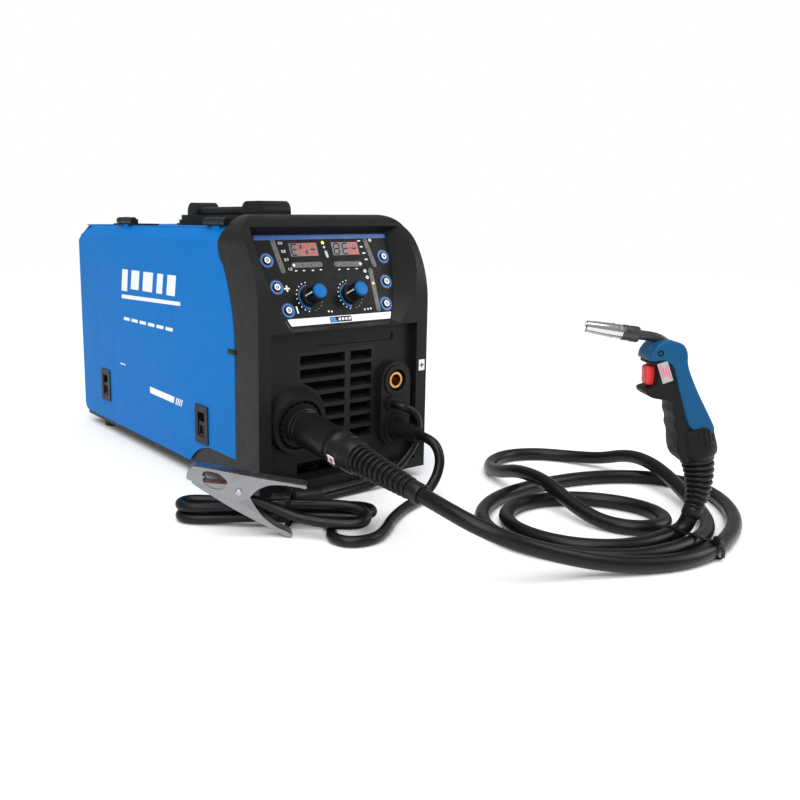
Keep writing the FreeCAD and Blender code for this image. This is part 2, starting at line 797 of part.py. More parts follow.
def pressure_arm():
    x0 = boss_x + roll_width / 2 + 0.8
    hub = rod(6.5, across(*arm_pivot, x0), V(1, 0, 0), 6)
    beam = feeder_block(x0, x0 + 6, arm_pivot[0], feeder_reach + 26, press_rise + 2, press_rise + 9)
    axle_start = across(feeder_reach, press_rise, boss_x - roll_width / 2 - 1)
    axle = rod(arm_pin_radius, axle_start, V(1, 0, 0), x0 - boss_x + 8)
    cheek = feeder_block(x0, x0 + 5, feeder_reach - 5, feeder_reach + 5, press_rise - 5, press_rise + 6)
    pad = feeder_block(x0 - 8, x0 + 6, feeder_reach + 14, feeder_reach + 26, press_rise + 2, press_rise + 9)
    body = fuse([hub, beam, axle, cheek, pad])
    pin_hole = rod(arm_pin_radius + running, across(*arm_pivot, x0 - 5), V(1, 0, 0), 30)
    screw_hole = rod(screw_radius + running, across(feeder_reach + screw_offset, 0, x0 - 2), feeder_up, 60)
    return cut(body, [pin_hole, screw_hole])


def tension_knob():
    x = boss_x + roll_width / 2 - 1.2
    s = feeder_reach + screw_offset
    screw = rod(screw_radius, across(s, press_rise - 2, x), feeder_up, 30)
    knob_body = rod(8.0, across(s, press_rise + 9.4, x), feeder_up, 20)
    crown = taper(8.0, 6.0, across(s, press_rise + 29.4, x), feeder_up, 4)
    return fuse([screw, knob_body, crown])


def on_hub(x):
    return V(x, deep(hub_depth), high(hub_height))


def spool_hub():
    x_end = -half_width + 7.0
    axis = V(1, 0, 0)
    seat = rod(32.0, on_hub(partition_x - 4), axis, 4)
    collar = rod(32.0, on_hub(-hub_flange), axis, 4)
    stem = rod(12.0, on_hub(-hub_flange), axis, hub_flange + partition_x)
    barrel = rod(spool_bore - gap, on_hub(-hub_flange - spool_width - 1), axis, spool_width + 1)
    nut = rod(31.0, on_hub(x_end), axis, -hub_flange - spool_width - 0.9 - x_end)
    return fuse([seat, collar, stem, barrel, nut])


def wire_spool():
    x0 = -hub_flange - spool_width - gap
    axis = V(1, 0, 0)
    flanges = [rod(spool_radius, on_hub(x), axis, spool_flange) for x in (x0, x0 + spool_width - spool_flange)]
    core = rod(spool_core, on_hub(x0), axis, spool_width)
    reel = cut(fuse(flanges + [core]), [rod(spool_bore, on_hub(x0 - 1), axis, spool_width + 2)])
    wire = ring(spool_radius - 8, spool_core, on_hub(x0 + spool_flange), axis, spool_width - 2 * spool_flange)
    return reel, wire


save("feeder_plate", feeder_plate())
save("feed_motor", feed_motor())
save("drive_roll", drive_roll())
save("pressure_roll",
     grooved_roll(pressure_roll_radius, boss_x, feeder_reach, press_rise, arm_pin_radius + running))
save("pressure_arm", pressure_arm())
save("tension_knob", tension_knob())
save("spool_hub", spool_hub())
save("wire_spool", *wire_spool())


# ---- power electronics --------------------------------------------------------------
transformer_x = 55.0
transformer_front = 120.0
transformer_rear = 196.0
core_half = 37.0
core_top = 74.0
core_window_half = 17.0
core_window = (20.0, 56.0)
coil_half = 23.0
coil_proud = 14.0
inverter_left = 8.0
inverter_right = 102.0
inverter_front = 70.0
inverter_rear = 400.0
inverter_height = 96.0
sink_front = 230.0
sink_rear = 380.0
sink_base_height = 6.4
sink_top = 150.0
fin_pitch = 9.0
fin_thickness = 3.0
fin_count = 8
can_radius = 15.0
can_height = 48.0


def main_transformer():
    y0 = deep(transformer_front)
    y1 = deep(transformer_rear)
    low, top = core_window
    core = rounded_box(transformer_x - core_half, transformer_x + core_half, y0, y1,
                       high(sheet), high(core_top), 4.0, "Y")
    window = block(transformer_x - core_window_half, transformer_x + core_window_half, y0 - 10, y1 + 10,
                   high(low), high(top))
    coil = rounded_box(transformer_x - coil_half, transformer_x + coil_half, y0 - coil_proud, y1 + coil_proud,
                       high(low + 4), high(top - 4), 10.0, "Y")
    return fuse([core.cut(window), coil])


def inverter_board():
    face = inverter_height + board_thickness
    board = block(inverter_left, inverter_right, deep(inverter_front), deep(inverter_rear),
                  high(inverter_height), high(face))
    posts = []
    for x in (inverter_left + 4, inverter_right - 4):
        for y in (inverter_front + 8, inverter_rear - 10):
            posts.append(rod(3.5, V(x, deep(y), high(sheet)), V(0, 0, 1), inverter_height - sheet))
    board = fuse([board] + posts)
    y0 = deep(sink_front)
    y1 = deep(sink_rear)
    fin_low = high(face + sink_base_height)
    left = inverter_left + 12
    sink_parts = [block(left, left + 70, y0, y1, high(face), fin_low)]
    for i in range(fin_count):
        x = left + 2 + fin_pitch * i
        sink_parts.append(block(x, x + fin_thickness, y0, y1, fin_low, high(sink_top)))
    cans = []
    for x in (34, 70):
        for y in (100, 138, 176):
            cans.append(rod(can_radius, V(x, deep(y), high(face)), V(0, 0, 1), can_height))
    return [board, fuse(sink_parts)] + cans


def fan_frame():
    y1 = deep(case_depth - rear_inset - sheet)
    y0 = y1 - 25
    z = high(fan_height)
    half = fan_size / 2
    frame_body = rounded_box(fan_x - half, fan_x + half, y0, y1, z - half, z + half, 5.0, "Y")
    tunnel = rod(43.0, V(fan_x, y0 - 1, z), V(0, 1, 0), 27)
    hub = rod(17.0, V(fan_x, y1 - 5, z), V(0, 1, 0), 5)
    spokes = [block(fan_x - 44, fan_x + 44, y1 - 4, y1, z - 2, z + 2),
              block(fan_x - 2, fan_x + 2, y1 - 4, y1, z - 44, z + 44)]
    pin = rod(2.0, V(fan_x, y0 + 3, z), V(0, 1, 0), 20)
    return fuse([frame_body.cut(tunnel), hub, pin] + spokes)


def fan_rotor():
    y1 = deep(case_depth - rear_inset - sheet)
    z = high(fan_height)
    hub = rod(17.0, V(fan_x, y1 - 23, z), V(0, 1, 0), 17.4)
    blades = []
    for i in range(7):
        slim = block(-1.2, 1.2, y1 - 26, y1 - 4, 14, 41.5)
        slim.rotate(V(0, y1 - 15, 20), V(0, 0, 1), 50)
        blade = slim.common(block(-20, 20, y1 - 22, y1 - 7, 0, 60))
        blade.rotate(V(0, 0, 0), V(0, 1, 0), i * 360.0 / 7)
        blade.translate(V(fan_x, 0, z))
        blades.append(blade)
    bore = rod(2.0 + running, V(fan_x, y1 - 30, z), V(0, 1, 0), 40)
    return cut(fuse([hub] + blades), [bore])


def switch_block(grow, y0, y1):
    half_w = switch_size[0] / 2 + grow
    half_h = switch_size[1] / 2 + grow
    z = high(switch_height)
    return block(switch_x - half_w, switch_x + half_w, y0, y1, z - half_h, z + half_h)


def rear_fittings():
    y = deep(case_depth - rear_inset)
    w = switch_size[0]
    z = high(switch_height)
    frame_rim = switch_block(2.5, y, y + 2)
    frame_box = switch_block(-0.1, y - 22, y + 1)
    pocket = switch_block(-2, y - 12, y + 5)
    pivot = rod(1.5, V(switch_x - w / 2 + 1, y - 3, z), V(1, 0, 0), w - 2)
    switch = fuse([cut(fuse([frame_rim, frame_box]), [pocket]), pivot])
    gx, gh = gland_place
    gland = fuse([
        rod(10.0, V(gx, y - 14, high(gh)), V(0, 1, 0), 15),
        Part.makeCylinder(13.0, 5, V(gx, y, high(gh)), V(0, 1, 0)),
        taper(11.5, 9.5, V(gx, y + 5, high(gh)), V(0, 1, 0), 11),
    ]).cut(rod(5.5, V(gx, y - 20, high(gh)), V(0, 1, 0), 60))
    ax, ah = gas_place
    nipple = fuse([
        rod(6.0, V(ax, y - 12, high(ah)), V(0, 1, 0), 13),
        Part.makeCylinder(9.0, 4, V(ax, y, high(ah)), V(0, 1, 0)),
        rod(3.8, V(ax, y + 4, high(ah)), V(0, 1, 0), 9),
    ] + [taper(5.0, 4.0, V(ax, y + 5 + 5 * i, high(ah)), V(0, 1, 0), 5) for i in range(3)])
    nipple = nipple.cut(rod(2.2, V(ax, y - 20, high(ah)), V(0, 1, 0), 60))
    return switch, gland, nipple


rocker_rest_angle = 10.0


def power_rocker():
    y = deep(case_depth - rear_inset)
    w, h = switch_size
    z = high(switch_height)
    hw = w / 2 - 2 - gap
    hh = h / 2 - 2 - 1.2
    x = switch_x - hw
    points = [V(x, y - 5, z - hh), V(x, y + 3.5, z - hh), V(x, y + 1.0, z), V(x, y + 3.5, z + hh),
              V(x, y - 5, z + hh)]
    body = extrude(polyline(points), V(2 * hw, 0, 0))
    body.rotate(V(switch_x, y - 3, z), V(1, 0, 0), rocker_rest_angle)
    return body.cut(rod(1.5 + running, V(x - 5, y - 3, z), V(1, 0, 0), 60))


save("main_transformer", main_transformer())
save("inverter_board", *inverter_board())
save("fan_frame", fan_frame())
save("fan_rotor", fan_rotor())
save("rear_fittings", *rear_fittings())
save("power_rocker", power_rocker())


# ---- sockets on the front -----------------------------------------------------------
contact_radius = 9.0
contact_length = 30.0
plug_length = 38.0
housing_end = 101.0
relief_end = 190.0
nut_radius = 24.5
lead_gland_face = -2.5
housing_radius = 18.0


def weld_sockets():
    solids = []
    for height in (socket_upper, socket_lower):
        z = high(height)
        body = rod(collar_radius - 0.1, V(pod_x, deep(-0.5), z), V(0, 1, 0), 26)
        face_recess = rod(12.5, V(pod_x, deep(-1), z), V(0, 1, 0), 7)
        bore = rod(contact_radius + 0.1, V(pod_x, deep(-2), z), V(0, 1, 0), 40)
        solids.append(cut(body, [face_recess, bore]))
    return solids


def socket_contacts():
    solids = []
    for height in (socket_upper, socket_lower):
        z = high(height)
        body = rod(contact_radius, V(pod_x, deep(2.0), z), V(0, 1, 0), contact_length)
        stud = rod(5.0, V(pod_x, deep(2.0) + contact_length, z), V(0, 1, 0), 12)
        bore = rod(socket_pin_bore / 2, V(pod_x, deep(1.0), z), V(0, 1, 0), contact_length - 4)
        solids.append(fuse([body, stud]).cut(bore))
    return solids


def lead_gland():
    body = rod(polarity_diameter / 2 + 2.9, V(lead_gland_x, deep(0), high(lead_gland_height)), V(0, 1, 0), 20)
    start = V(lead_gland_x, deep(lead_gland_face), high(lead_gland_height))
    return fuse([body, rod(polarity_diameter / 2 + 4.2, start, V(0, 1, 0), 1.4 - lead_gland_face)])


def gun_socket():
    plate = rod(boss_bore - 0.1, on_boss(-22), boss_axis, 8)
    core = rod(9.0, on_boss(-34), boss_axis, 20)
    way = rod(2.0, on_boss(-60), boss_axis, 80)
    return fuse([plate, core]).cut(way)


def connector_nut():
    body = ring(nut_radius - 1.2, housing_radius + running, on_boss(-13.2), boss_axis, 16.2)
    ribs = []
    for i in range(20):
        rib = block(-1.6, 1.6, nut_radius - 2.4, nut_radius, 0, 14.0)
        rib.rotate(V(0, 0, 0), V(0, 0, 1), i * 18.0)
        rib.rotate(V(0, 0, 0), V(1, 0, 0), 90 + boss_droop)
        rib.translate(on_boss(-13.2))
        ribs.append(rib)
    return fuse([body] + ribs)


def connector_housing():
    neck = rod(housing_radius, on_boss(-13.8), boss_axis, 22.0)
    stop = rod(housing_radius + 2.0, on_boss(3.4), boss_axis, 4.0)
    grip = taper(housing_radius + 0.8, housing_radius - 0.8, on_boss(7.4), boss_axis, 80.0)
    cap = taper(housing_radius - 0.4, housing_radius - 3.0, on_boss(87.4), boss_axis, housing_end - 87.4)
    return fuse([neck, stop, grip, cap])


def cable_relief():
    return taper(14.5, 9.5, on_boss(housing_end), boss_axis, relief_end - housing_end)


def inline_plug(start, direction, pin):
    """Insulated lead plug: pin, guard collar, body and grip, each along one direction."""
    pieces = [
        rod(12.0, start, direction, 5.0),
        taper(10.4, 9.4, start + direction * 5.0, direction, 21.0),
        rod(8.6, start + direction * 26.0, direction, plug_length - 26.0),
        rod(pin, start - direction * 20.0, direction, 20.5),
    ]
    return fuse(pieces)


save("weld_sockets", *weld_sockets())
save("socket_contacts", *socket_contacts())
save("lead_gland", lead_gland())
save("gun_socket", gun_socket())
save("connector_nut", connector_nut())
save("connector_housing", connector_housing())
save("cable_relief", cable_relief())


# ---- leads --------------------------------------------------------------------------
def cord_wire(points, name):
    """Straight runs joined by tangent arcs as large as the runs allow."""
    points = [V(*p) for p in points]
    edges = []
    radii = []
    last = points[0]
    for before, corner, after in zip(points, points[1:], points[2:]):
        run_in = corner - before
        run_out = after - corner
        half_turn = run_in.getAngle(run_out) / 2
        setback = 0.45 * min(run_in.Length, run_out.Length)
        radius = setback / math.tan(half_turn)
        enter = corner - V(run_in).normalize() * setback
        leave = corner + V(run_out).normalize() * setback
        to_centre = (V(run_out).normalize() - V(run_in).normalize()).normalize()
        centre = corner + to_centre * (radius / math.cos(half_turn))
        edges.append(line(last, enter))
        edges.append(arc(enter, centre - to_centre * radius, leave))
        last = leave
        radii.append(radius)
    edges.append(line(last, points[-1]))
    wire = Part.Wire(edges)
    print(name, "length", round(wire.Length), "radii", [round(r) for r in radii])
    return wire


def cord_tube(points, diameter, name):
    wire = cord_wire(points, name)
    start = V(*points[0])
    section = Part.Wire(Part.makeCircle(diameter / 2, start, V(*points[1]) - start))
    tube = wire.makePipeShell([section], True, True, 2)
    expected = math.pi * diameter ** 2 / 4 * wire.Length
    print(name, "volume share", round(tube.Volume / expected, 4))
    return tube


gun_cable_end = on_boss(relief_end)
gun_cable_lead = on_boss(relief_end + 26)
torch_cable_route = [
    tuple(gun_cable_end),
    tuple(gun_cable_lead),
    (-56, -334, 48), (-36, -358, 37), (-5, -372, 25), (34, -388, 13), (74, -408, 8), (112, -421, 7.5),
    (152, -422, 8.8), (192, -412, 7.5), (232, -396, 7.5), (270, -370, 7.5), (302, -334, 7.5), (316, -296, 7.5),
    (304, -262, 7.5), (276, -236, 7.5), (236, -217, 7.5), (190, -208, 7.5), (144, -206, 7.5), (98, -213, 7.5),
    (57, -234, 7.5), (30, -266, 7.5), (22, -302, 7.5), (30, -338, 7.5), (52, -370, 7.5), (84, -392, 7.5),
    (120, -401, 8), (156, -402, 8.8), (194, -391, 7.5), (228, -368, 7.5), (256, -336, 10), (278, -298, 20),
    (292, -262, 28), (302, -226, 26), (305, -188, 12), (296, -150, 7.5), (274, -120, 7.5), (240, -104, 7.5),
    (204, -110, 7.5), (174, -134, 8), (156, -168, 16), (146, -204, 28), (139, -246, 28), (132, -284, 16),
    (131, -318, 8), (142, -347, 7.5), (168, -360, 7.5), (194, -348, 7.5), (204, -320, 7.5), (196, -288, 7.5),
    (174, -260, 7.5), (142, -243, 7.5), (106, -238, 7.5), (74, -250, 7.5), (53, -276, 7.5), (48, -308, 7.5),
    (59, -341, 7.5), (84, -366, 7.5), (114, -377, 7.5), (140, -379.5, 8.8), (158, -381.5, 10.8),
    (166.4, -385.6, 17.4), (168.8, -387.2, 28),
]
earth_route = [
    (pod_x, deep(-plug_length), high(socket_lower)), (pod_x, -144, 61.5), (71, -156, 54), (70, -162, 38),
    (60, -164, 20), (40, -168, 8), (8, -177, 5.6), (-26, -196, 5.6), (-50, -216, 5.6), (-74, -228, 5.6),
    (-97, -222, 5.6), (-104, -203, 7), (-92, -188, 11), (-82, -174, 14),
]
clamp_tail_route = [
    (-156, -142.5, 35.5), (-148, -148, 32.5), (-134, -157.6, 27), (-120, -165, 22), (-106, -166, 18.5),
    (-95, -161, 17.5),
]
polarity_route = [
    (lead_gland_x, deep(lead_gland_face), high(lead_gland_height)), (62.6, -99, 90.8), (67, -105.5, 89.5),
    (76, -108, 85), (84.5, -108, 76), (87.5, -106.5, 63), (86, -105, 50), (78, -104, 36), (65, -103, 23.5),
    (48, -102, 13.5), (28, -101, 7), (4, -100, 5), (-20, -100.5, 4.8), (-46, -102, 4.8),
]
hank_left = V(-180, -74, 0)
hank_right = V(-54, -186, 0)
hank_half_width = 19.4
hank_height = 36.0
tie_strap = 1.2


def lead_hank():
    along = (hank_right - hank_left).normalize()
    side = V(-along.y, along.x, 0)
    r = hank_half_width
    wire = Part.Wire([
        line(hank_left + side * r, hank_right + side * r),
        arc(hank_right + side * r, hank_right + along * r, hank_right - side * r),
        line(hank_right - side * r, hank_left - side * r),
        arc(hank_left - side * r, hank_left - along * r, hank_left + side * r),
    ])
    body = Part.Face(wire).extrude(V(0, 0, hank_height))
    body.translate(V(0, 0, tie_strap + gap))
    top = hank_height + tie_strap + gap
    return body.makeFillet(9.0, [e for e in body.Edges if abs(e.CenterOfMass.z - top) < 0.1])


def cable_tie(centre, direction, half_across, height):
    """Flat strap closed round a bundle that runs along direction, standing on the floor."""
    width = 5.0
    outer = half_across + tie_strap
    top = height + 2 * tie_strap
    body = block(-outer, outer, -width / 2, width / 2, 0, top)
    inner = block(-half_across, half_across, -width, width, tie_strap, tie_strap + height)
    lock = block(-4, 4, -3.5, 3.5, top - 0.5, top + 3.5)
    body = fuse([body.cut(inner), lock])
    body.rotate(V(0, 0, 0), V(0, 0, 1), math.degrees(math.atan2(direction.y, direction.x)) - 90)
    body.translate(centre)
    return body


save("earth_plug", inline_plug(V(pod_x, deep(0), high(socket_lower)), V(0, -1, 0), socket_pin_bore / 2 - 0.15))
save("earth_lead", cord_tube(earth_route, lead_diameter, "earth_lead"),
     cord_tube(clamp_tail_route, lead_diameter, "clamp_tail"))
save("lead_hank", lead_hank())
hank_tie_place = hank_left + (hank_right - hank_left) * 0.55
hank_tie = cable_tie(hank_tie_place, hank_right - hank_left, hank_half_width + gap, hank_height + 2 * gap)
loop_tie = cable_tie(V(148, -401, 0), V(1, 0, 0), 30.2, 16.4)
save("cable_ties", hank_tie, loop_tie)
save("polarity_lead", cord_tube(polarity_route, polarity_diameter, "polarity_lead"))
polarity_end = V(*polarity_route[-1])
polarity_plug_start = V(polarity_end.x - plug_length, polarity_end.y - 2, 12.8)
polarity_plug_way = V(1, 0.03, -0.1).normalize()
save("polarity_plug", inline_plug(polarity_plug_start, polarity_plug_way, socket_pin_bore / 2 - 0.2))
save("torch_cable", cord_tube(torch_cable_route, cable_diameter, "torch_cable"))


# ---- welding gun --------------------------------------------------------------------
view_turn = math.radians(-34.2)
gun_right = V(math.cos(view_turn), math.sin(view_turn), 0)
gun_side = V(-gun_right.y, gun_right.x, 0)
gun_origin = V(173.8, -390.6, 0)
relief_foot = (-6.0, 28.0)
relief_root = (0.5, 78.0)
nut_top = (-4.3, 105.0)
trigger_pivot = (-44.5, 161.5)
shell_half = 15.0
grip_half = 13.5
trigger_half = 6.0
neck_radius = 5.2
collar_length = 18.3
sleeve_end = 30.5
nozzle_end = 52.7
sleeve_floor = 4.0
nozzle_radius = 7.2
nozzle_mouth_radius = 5.4
nozzle_bore = 3.8
contact_tip_radius = 2.0


def on_gun(s, z, n=0.0):
    """Point s to the right and z up in the gun's own upright plane, n to its far side."""
    return gun_origin + gun_right * s + V(0, 0, z) + gun_side * n


def gun_prism(points, half):
    edges = polyline([on_gun(s, z, -half) for s, z in points])
    return extrude(edges, gun_side * (2 * half))


def gun_rod(radius, a, b, end_radius=None):
    start = on_gun(*a)
    run = on_gun(*b) - start
    if end_radius is None:
        return rod(radius, start, run, run.Length)
    return taper(radius, end_radius, start, run, run.Length)


def long_edges(body, direction):
    return [e for e in body.Edges if abs(e.tangentAt(e.FirstParameter).dot(direction)) < 0.05]


def on_neck(d):
    """Place on the neck's straight line, d ahead of its collar's rear end towards the nozzle."""
    run = on_gun(-52.0, 8.67) - on_gun(0, 0)
    return on_gun(-60.0, 190.2) + run.normalize() * d


def neck_rod(radius, d0, d1, end_radius=None):
    start = on_neck(d0)
    run = on_neck(d1) - start
    if end_radius is None:
        return rod(radius, start, run, run.Length)
    return taper(radius, end_radius, start, run, run.Length)


def torch_shell():
    outline = [(-57, 176), (-51, 185), (-34, 187.5), (-20, 184), (-11, 174), (-2, 154), (6, 132), (12, 107),
               (-3, 103.6), (-8, 118), (-17, 141), (-27, 157), (-39, 166), (-56, 169)]
    body = gun_prism(outline, shell_half)
    body = body.makeFillet(4.0, long_edges(body, gun_side))
    return body.cut(torch_neck())


def torch_grip():
    outline = [(-55.6, 168.5), (-39, 165.6), (-27.3, 156.6), (-17.4, 140.7), (-8.4, 117.8), (-3.4, 103.5),
               (-20.3, 100.4), (-26, 113), (-36, 134), (-52, 137), (-54, 141), (-50, 146), (-40, 148),
               (-40, 163)]
    body = gun_prism(outline, grip_half)
    pocket = gun_prism([(-60, 165.2), (-36.5, 164.8), (-34, 146), (-60, 144)], trigger_half + gap)
    pin = gun_rod_across(1.5, trigger_pivot, trigger_half + gap + 0.5)
    ring_nut = gun_rod(17.2, nut_top, relief_root)
    ring_nut = ring_nut.cut(gun_prism([(-30, 98), (30, 110), (30, 140), (-30, 140)], 30))
    return [fuse([body.cut(pocket), pin]), ring_nut.cut(body).cut(torch_relief())]


def gun_rod_across(radius, place, half):
    return rod(radius, on_gun(place[0], place[1], -half), gun_side, 2 * half)


def torch_trigger():
    outline = [(-42, 164), (-47, 164), (-52, 162), (-56, 157), (-55, 149), (-50.5, 147.5), (-45, 149),
               (-41, 158)]
    body = gun_prism(outline, trigger_half)
    return body.cut(gun_rod_across(1.5 + running, trigger_pivot, trigger_half + 1))


def torch_relief():
    start = on_gun(*relief_root)
    end = on_gun(*relief_foot)
    path = Part.Wire([arc(start, on_gun(-0.6, 53.5), end)])
    first = Part.Wire(Part.makeCircle(13.0, start, V(0, 0, -1)))
    edge = path.Edges[0]
    finish = edge.tangentAt(edge.LastParameter)
    last = Part.Wire(Part.makeCircle(8.2, end, finish))
    return path.makePipeShell([first, last], True, True)


def torch_neck():
    inner = gun_rod(neck_radius, (-63.3, 190.6), (-32, 180.4))
    return fuse([inner, neck_rod(nozzle_radius, 0, collar_length)])


def torch_nozzle():
    sleeve = neck_rod(nozzle_radius, collar_length, sleeve_end)
    cone = neck_rod(nozzle_radius, sleeve_end, nozzle_end, nozzle_mouth_radius)
    bore = neck_rod(nozzle_bore, collar_length + sleeve_floor, nozzle_end + 5)
    tip = neck_rod(contact_tip_radius, collar_length + sleeve_floor, nozzle_end - 3)
    return [fuse([sleeve, cone]).cut(bore), tip]


save("torch_shell", torch_shell())
save("torch_grip", *torch_grip())
save("torch_trigger", torch_trigger())
save("torch_relief", torch_relief())
save("torch_neck", torch_neck())
save("torch_nozzle", *torch_nozzle())


# ---- earth clamp --------------------------------------------------------------------
clamp_pivot = V(-163, -138, 45.5)
clamp_plate = 1.5
upper_half = 9.0
lower_half = 7.2
clamp_pin = 2.5


def on_clamp(s, z, n=0.0):
    return clamp_pivot + gun_right * s + V(0, 0, z) + gun_side * n


def clamp_prism(points, half):
    edges = polyline([on_clamp(s, z, -half) for s, z in points])
    return extrude(edges, gun_side * (2 * half))


def channel(points, half, shift):
    """Pressed channel: two side plates and the web on the edge away from shift."""
    ds, dz = shift
    hollow = clamp_prism([(s + ds, z + dz) for s, z in points], half - clamp_plate)
    return clamp_prism(points, half).cut(hollow)


def clamp_rod(radius, half, place=(0.0, 0.0)):
    return rod(radius, on_clamp(place[0], place[1], -half), gun_side, 2 * half)


def clamp_lever():
    outline = [(-50, 20), (-46, 26.3), (0, 17.2), (62, 5), (62, 1), (28, 3), (12, -7), (-4, -8), (-14, 2),
               (-30, 11.5), (-44, 13)]
    body = channel(outline, upper_half, (0.3, -clamp_plate))
    return body.cut(clamp_rod(clamp_pin + running, 12))


def clamp_body():
    outline = [(-44, 12.4), (-39, 4), (-14, -10), (15, -30.5), (50, -44.5), (51.5, -41), (22, -26), (8, -8),
               (7, 7), (-7, 8), (-16, 3), (-30, 10.2)]
    lever = channel(outline, lower_half, (0.6, clamp_plate)).cut(clamp_rod(clamp_pin, 12))
    pin = clamp_rod(clamp_pin, upper_half + 2.0)
    spring = clamp_rod(5.6, lower_half - clamp_plate - gap).cut(clamp_rod(clamp_pin, 12))
    contact = clamp_prism([(-38, 5.5), (-20, 1.5), (-20, 4.5), (-38, 8.5)], lower_half - clamp_plate)
    return lever, pin, spring, contact


save("clamp_lever", clamp_lever())
save("clamp_body", *clamp_body())
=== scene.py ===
import json
import math

import bmesh
import bpy
from mathutils import Matrix, Vector


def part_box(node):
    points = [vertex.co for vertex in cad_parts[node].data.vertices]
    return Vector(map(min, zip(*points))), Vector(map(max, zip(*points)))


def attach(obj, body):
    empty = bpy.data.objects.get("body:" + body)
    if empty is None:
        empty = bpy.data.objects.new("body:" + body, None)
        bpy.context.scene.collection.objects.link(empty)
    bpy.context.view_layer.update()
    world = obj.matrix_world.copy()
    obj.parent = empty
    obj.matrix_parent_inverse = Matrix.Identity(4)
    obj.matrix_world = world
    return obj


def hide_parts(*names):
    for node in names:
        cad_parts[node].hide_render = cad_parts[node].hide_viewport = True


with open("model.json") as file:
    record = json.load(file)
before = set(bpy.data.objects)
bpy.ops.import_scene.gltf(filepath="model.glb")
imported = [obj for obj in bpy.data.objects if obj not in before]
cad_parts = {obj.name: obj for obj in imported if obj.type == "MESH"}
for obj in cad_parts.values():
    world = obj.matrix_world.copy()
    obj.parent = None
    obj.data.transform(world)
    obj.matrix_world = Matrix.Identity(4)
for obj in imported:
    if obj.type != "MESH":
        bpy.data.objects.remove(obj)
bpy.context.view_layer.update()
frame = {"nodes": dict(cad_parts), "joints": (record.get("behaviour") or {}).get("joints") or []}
nodes = frame["nodes"]
jointOf = {joint["name"]: joint for joint in frame["joints"]}
print("frame loaded")

# camera
caseMiddle = (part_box("front_bezel")[0].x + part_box("front_bezel")[1].x) / 2
caseFront = -0.090  # the front plane of the case
camera = {"place": (-0.5532, -0.8128, 0.297), "tilt": 80.0, "turn": -34.2, "lens": 38.9, "shift": (0.125, -0.039)}
bpy.ops.object.camera_add(location=Vector(camera["place"]) + Vector((caseMiddle, 0, 0)),
                          rotation=(math.radians(camera["tilt"]), 0, math.radians(camera["turn"])))
bpy.context.object.data.lens = camera["lens"]
bpy.context.object.data.shift_x, bpy.context.object.data.shift_y = camera["shift"]
bpy.context.object.data.clip_start = 0.01
bpy.context.scene.camera = bpy.context.object


# materials
def newGroup(name, inputs, outputs):
    group = bpy.data.node_groups.new(name, "ShaderNodeTree")
    for label, kind, value in inputs:
        socket = group.interface.new_socket(label, in_out="INPUT", socket_type=kind)
        socket.default_value = value
    for label, kind in outputs:
        group.interface.new_socket(label, in_out="OUTPUT", socket_type=kind)
    start = group.nodes.new("NodeGroupInput")
    end = group.nodes.new("NodeGroupOutput")
    return group, start, end


def addGrain():  # fine moulded or sprayed texture, as height
    group, start, end = newGroup("grain", [("Scale", "NodeSocketFloat", 900.0), ("Stretch", "NodeSocketVector", (1, 1, 1))],
                                 [("Height", "NodeSocketFloat")])
    place = group.nodes.new("ShaderNodeTexCoord")
    stretch = group.nodes.new("ShaderNodeVectorMath")
    stretch.operation = "MULTIPLY"
    noise = group.nodes.new("ShaderNodeTexNoise")
    noise.inputs["Detail"].default_value = 3.0
    group.links.new(place.outputs["Object"], stretch.inputs[0])
    group.links.new(start.outputs["Stretch"], stretch.inputs[1])
    group.links.new(stretch.outputs["Vector"], noise.inputs["Vector"])
    group.links.new(start.outputs["Scale"], noise.inputs["Scale"])
    group.links.new(noise.outputs["Fac"], end.inputs["Height"])
    return group


def addDrift():  # slow change of colour and roughness over a surface, with smudges
    group, start, end = newGroup("drift", [("Colour", "NodeSocketColor", (0.5, 0.5, 0.5, 1)),
                                           ("Second", "NodeSocketColor", (0.5, 0.5, 0.5, 1)),
                                           ("Scale", "NodeSocketFloat", 20.0),
                                           ("Low", "NodeSocketFloat", 0.3), ("High", "NodeSocketFloat", 0.5)],
                                 [("Colour", "NodeSocketColor"), ("Roughness", "NodeSocketFloat")])
    place = group.nodes.new("ShaderNodeTexCoord")
    slow = group.nodes.new("ShaderNodeTexNoise")
    slow.inputs["Detail"].default_value = 4.0
    fast = group.nodes.new("ShaderNodeTexNoise")
    fast.inputs["Detail"].default_value = 6.0
    faster = group.nodes.new("ShaderNodeMath")
    faster.operation = "MULTIPLY"
    faster.inputs[1].default_value = 4.3
    mix = group.nodes.new("ShaderNodeMix")
    mix.data_type = "RGBA"
    spread = group.nodes.new("ShaderNodeMapRange")
    for noise in (slow, fast):
        group.links.new(place.outputs["Object"], noise.inputs["Vector"])
    group.links.new(start.outputs["Scale"], slow.inputs["Scale"])
    group.links.new(start.outputs["Scale"], faster.inputs[0])
    group.links.new(faster.outputs[0], fast.inputs["Scale"])
    group.links.new(slow.outputs["Fac"], mix.inputs["Factor"])
    group.links.new(start.outputs["Colour"], mix.inputs["A"])
    group.links.new(start.outputs["Second"], mix.inputs["B"])
    group.links.new(mix.outputs["Result"], end.inputs["Colour"])
    group.links.new(fast.outputs["Fac"], spread.inputs["Value"])
    spread.inputs["From Min"].default_value = 0.35
    spread.inputs["From Max"].default_value = 0.65
    group.links.new(start.outputs["Low"], spread.inputs["To Min"])
    group.links.new(start.outputs["High"], spread.inputs["To Max"])
    group.links.new(spread.outputs["Result"], end.inputs["Roughness"])
    return group


grain = addGrain()
drift = addDrift()


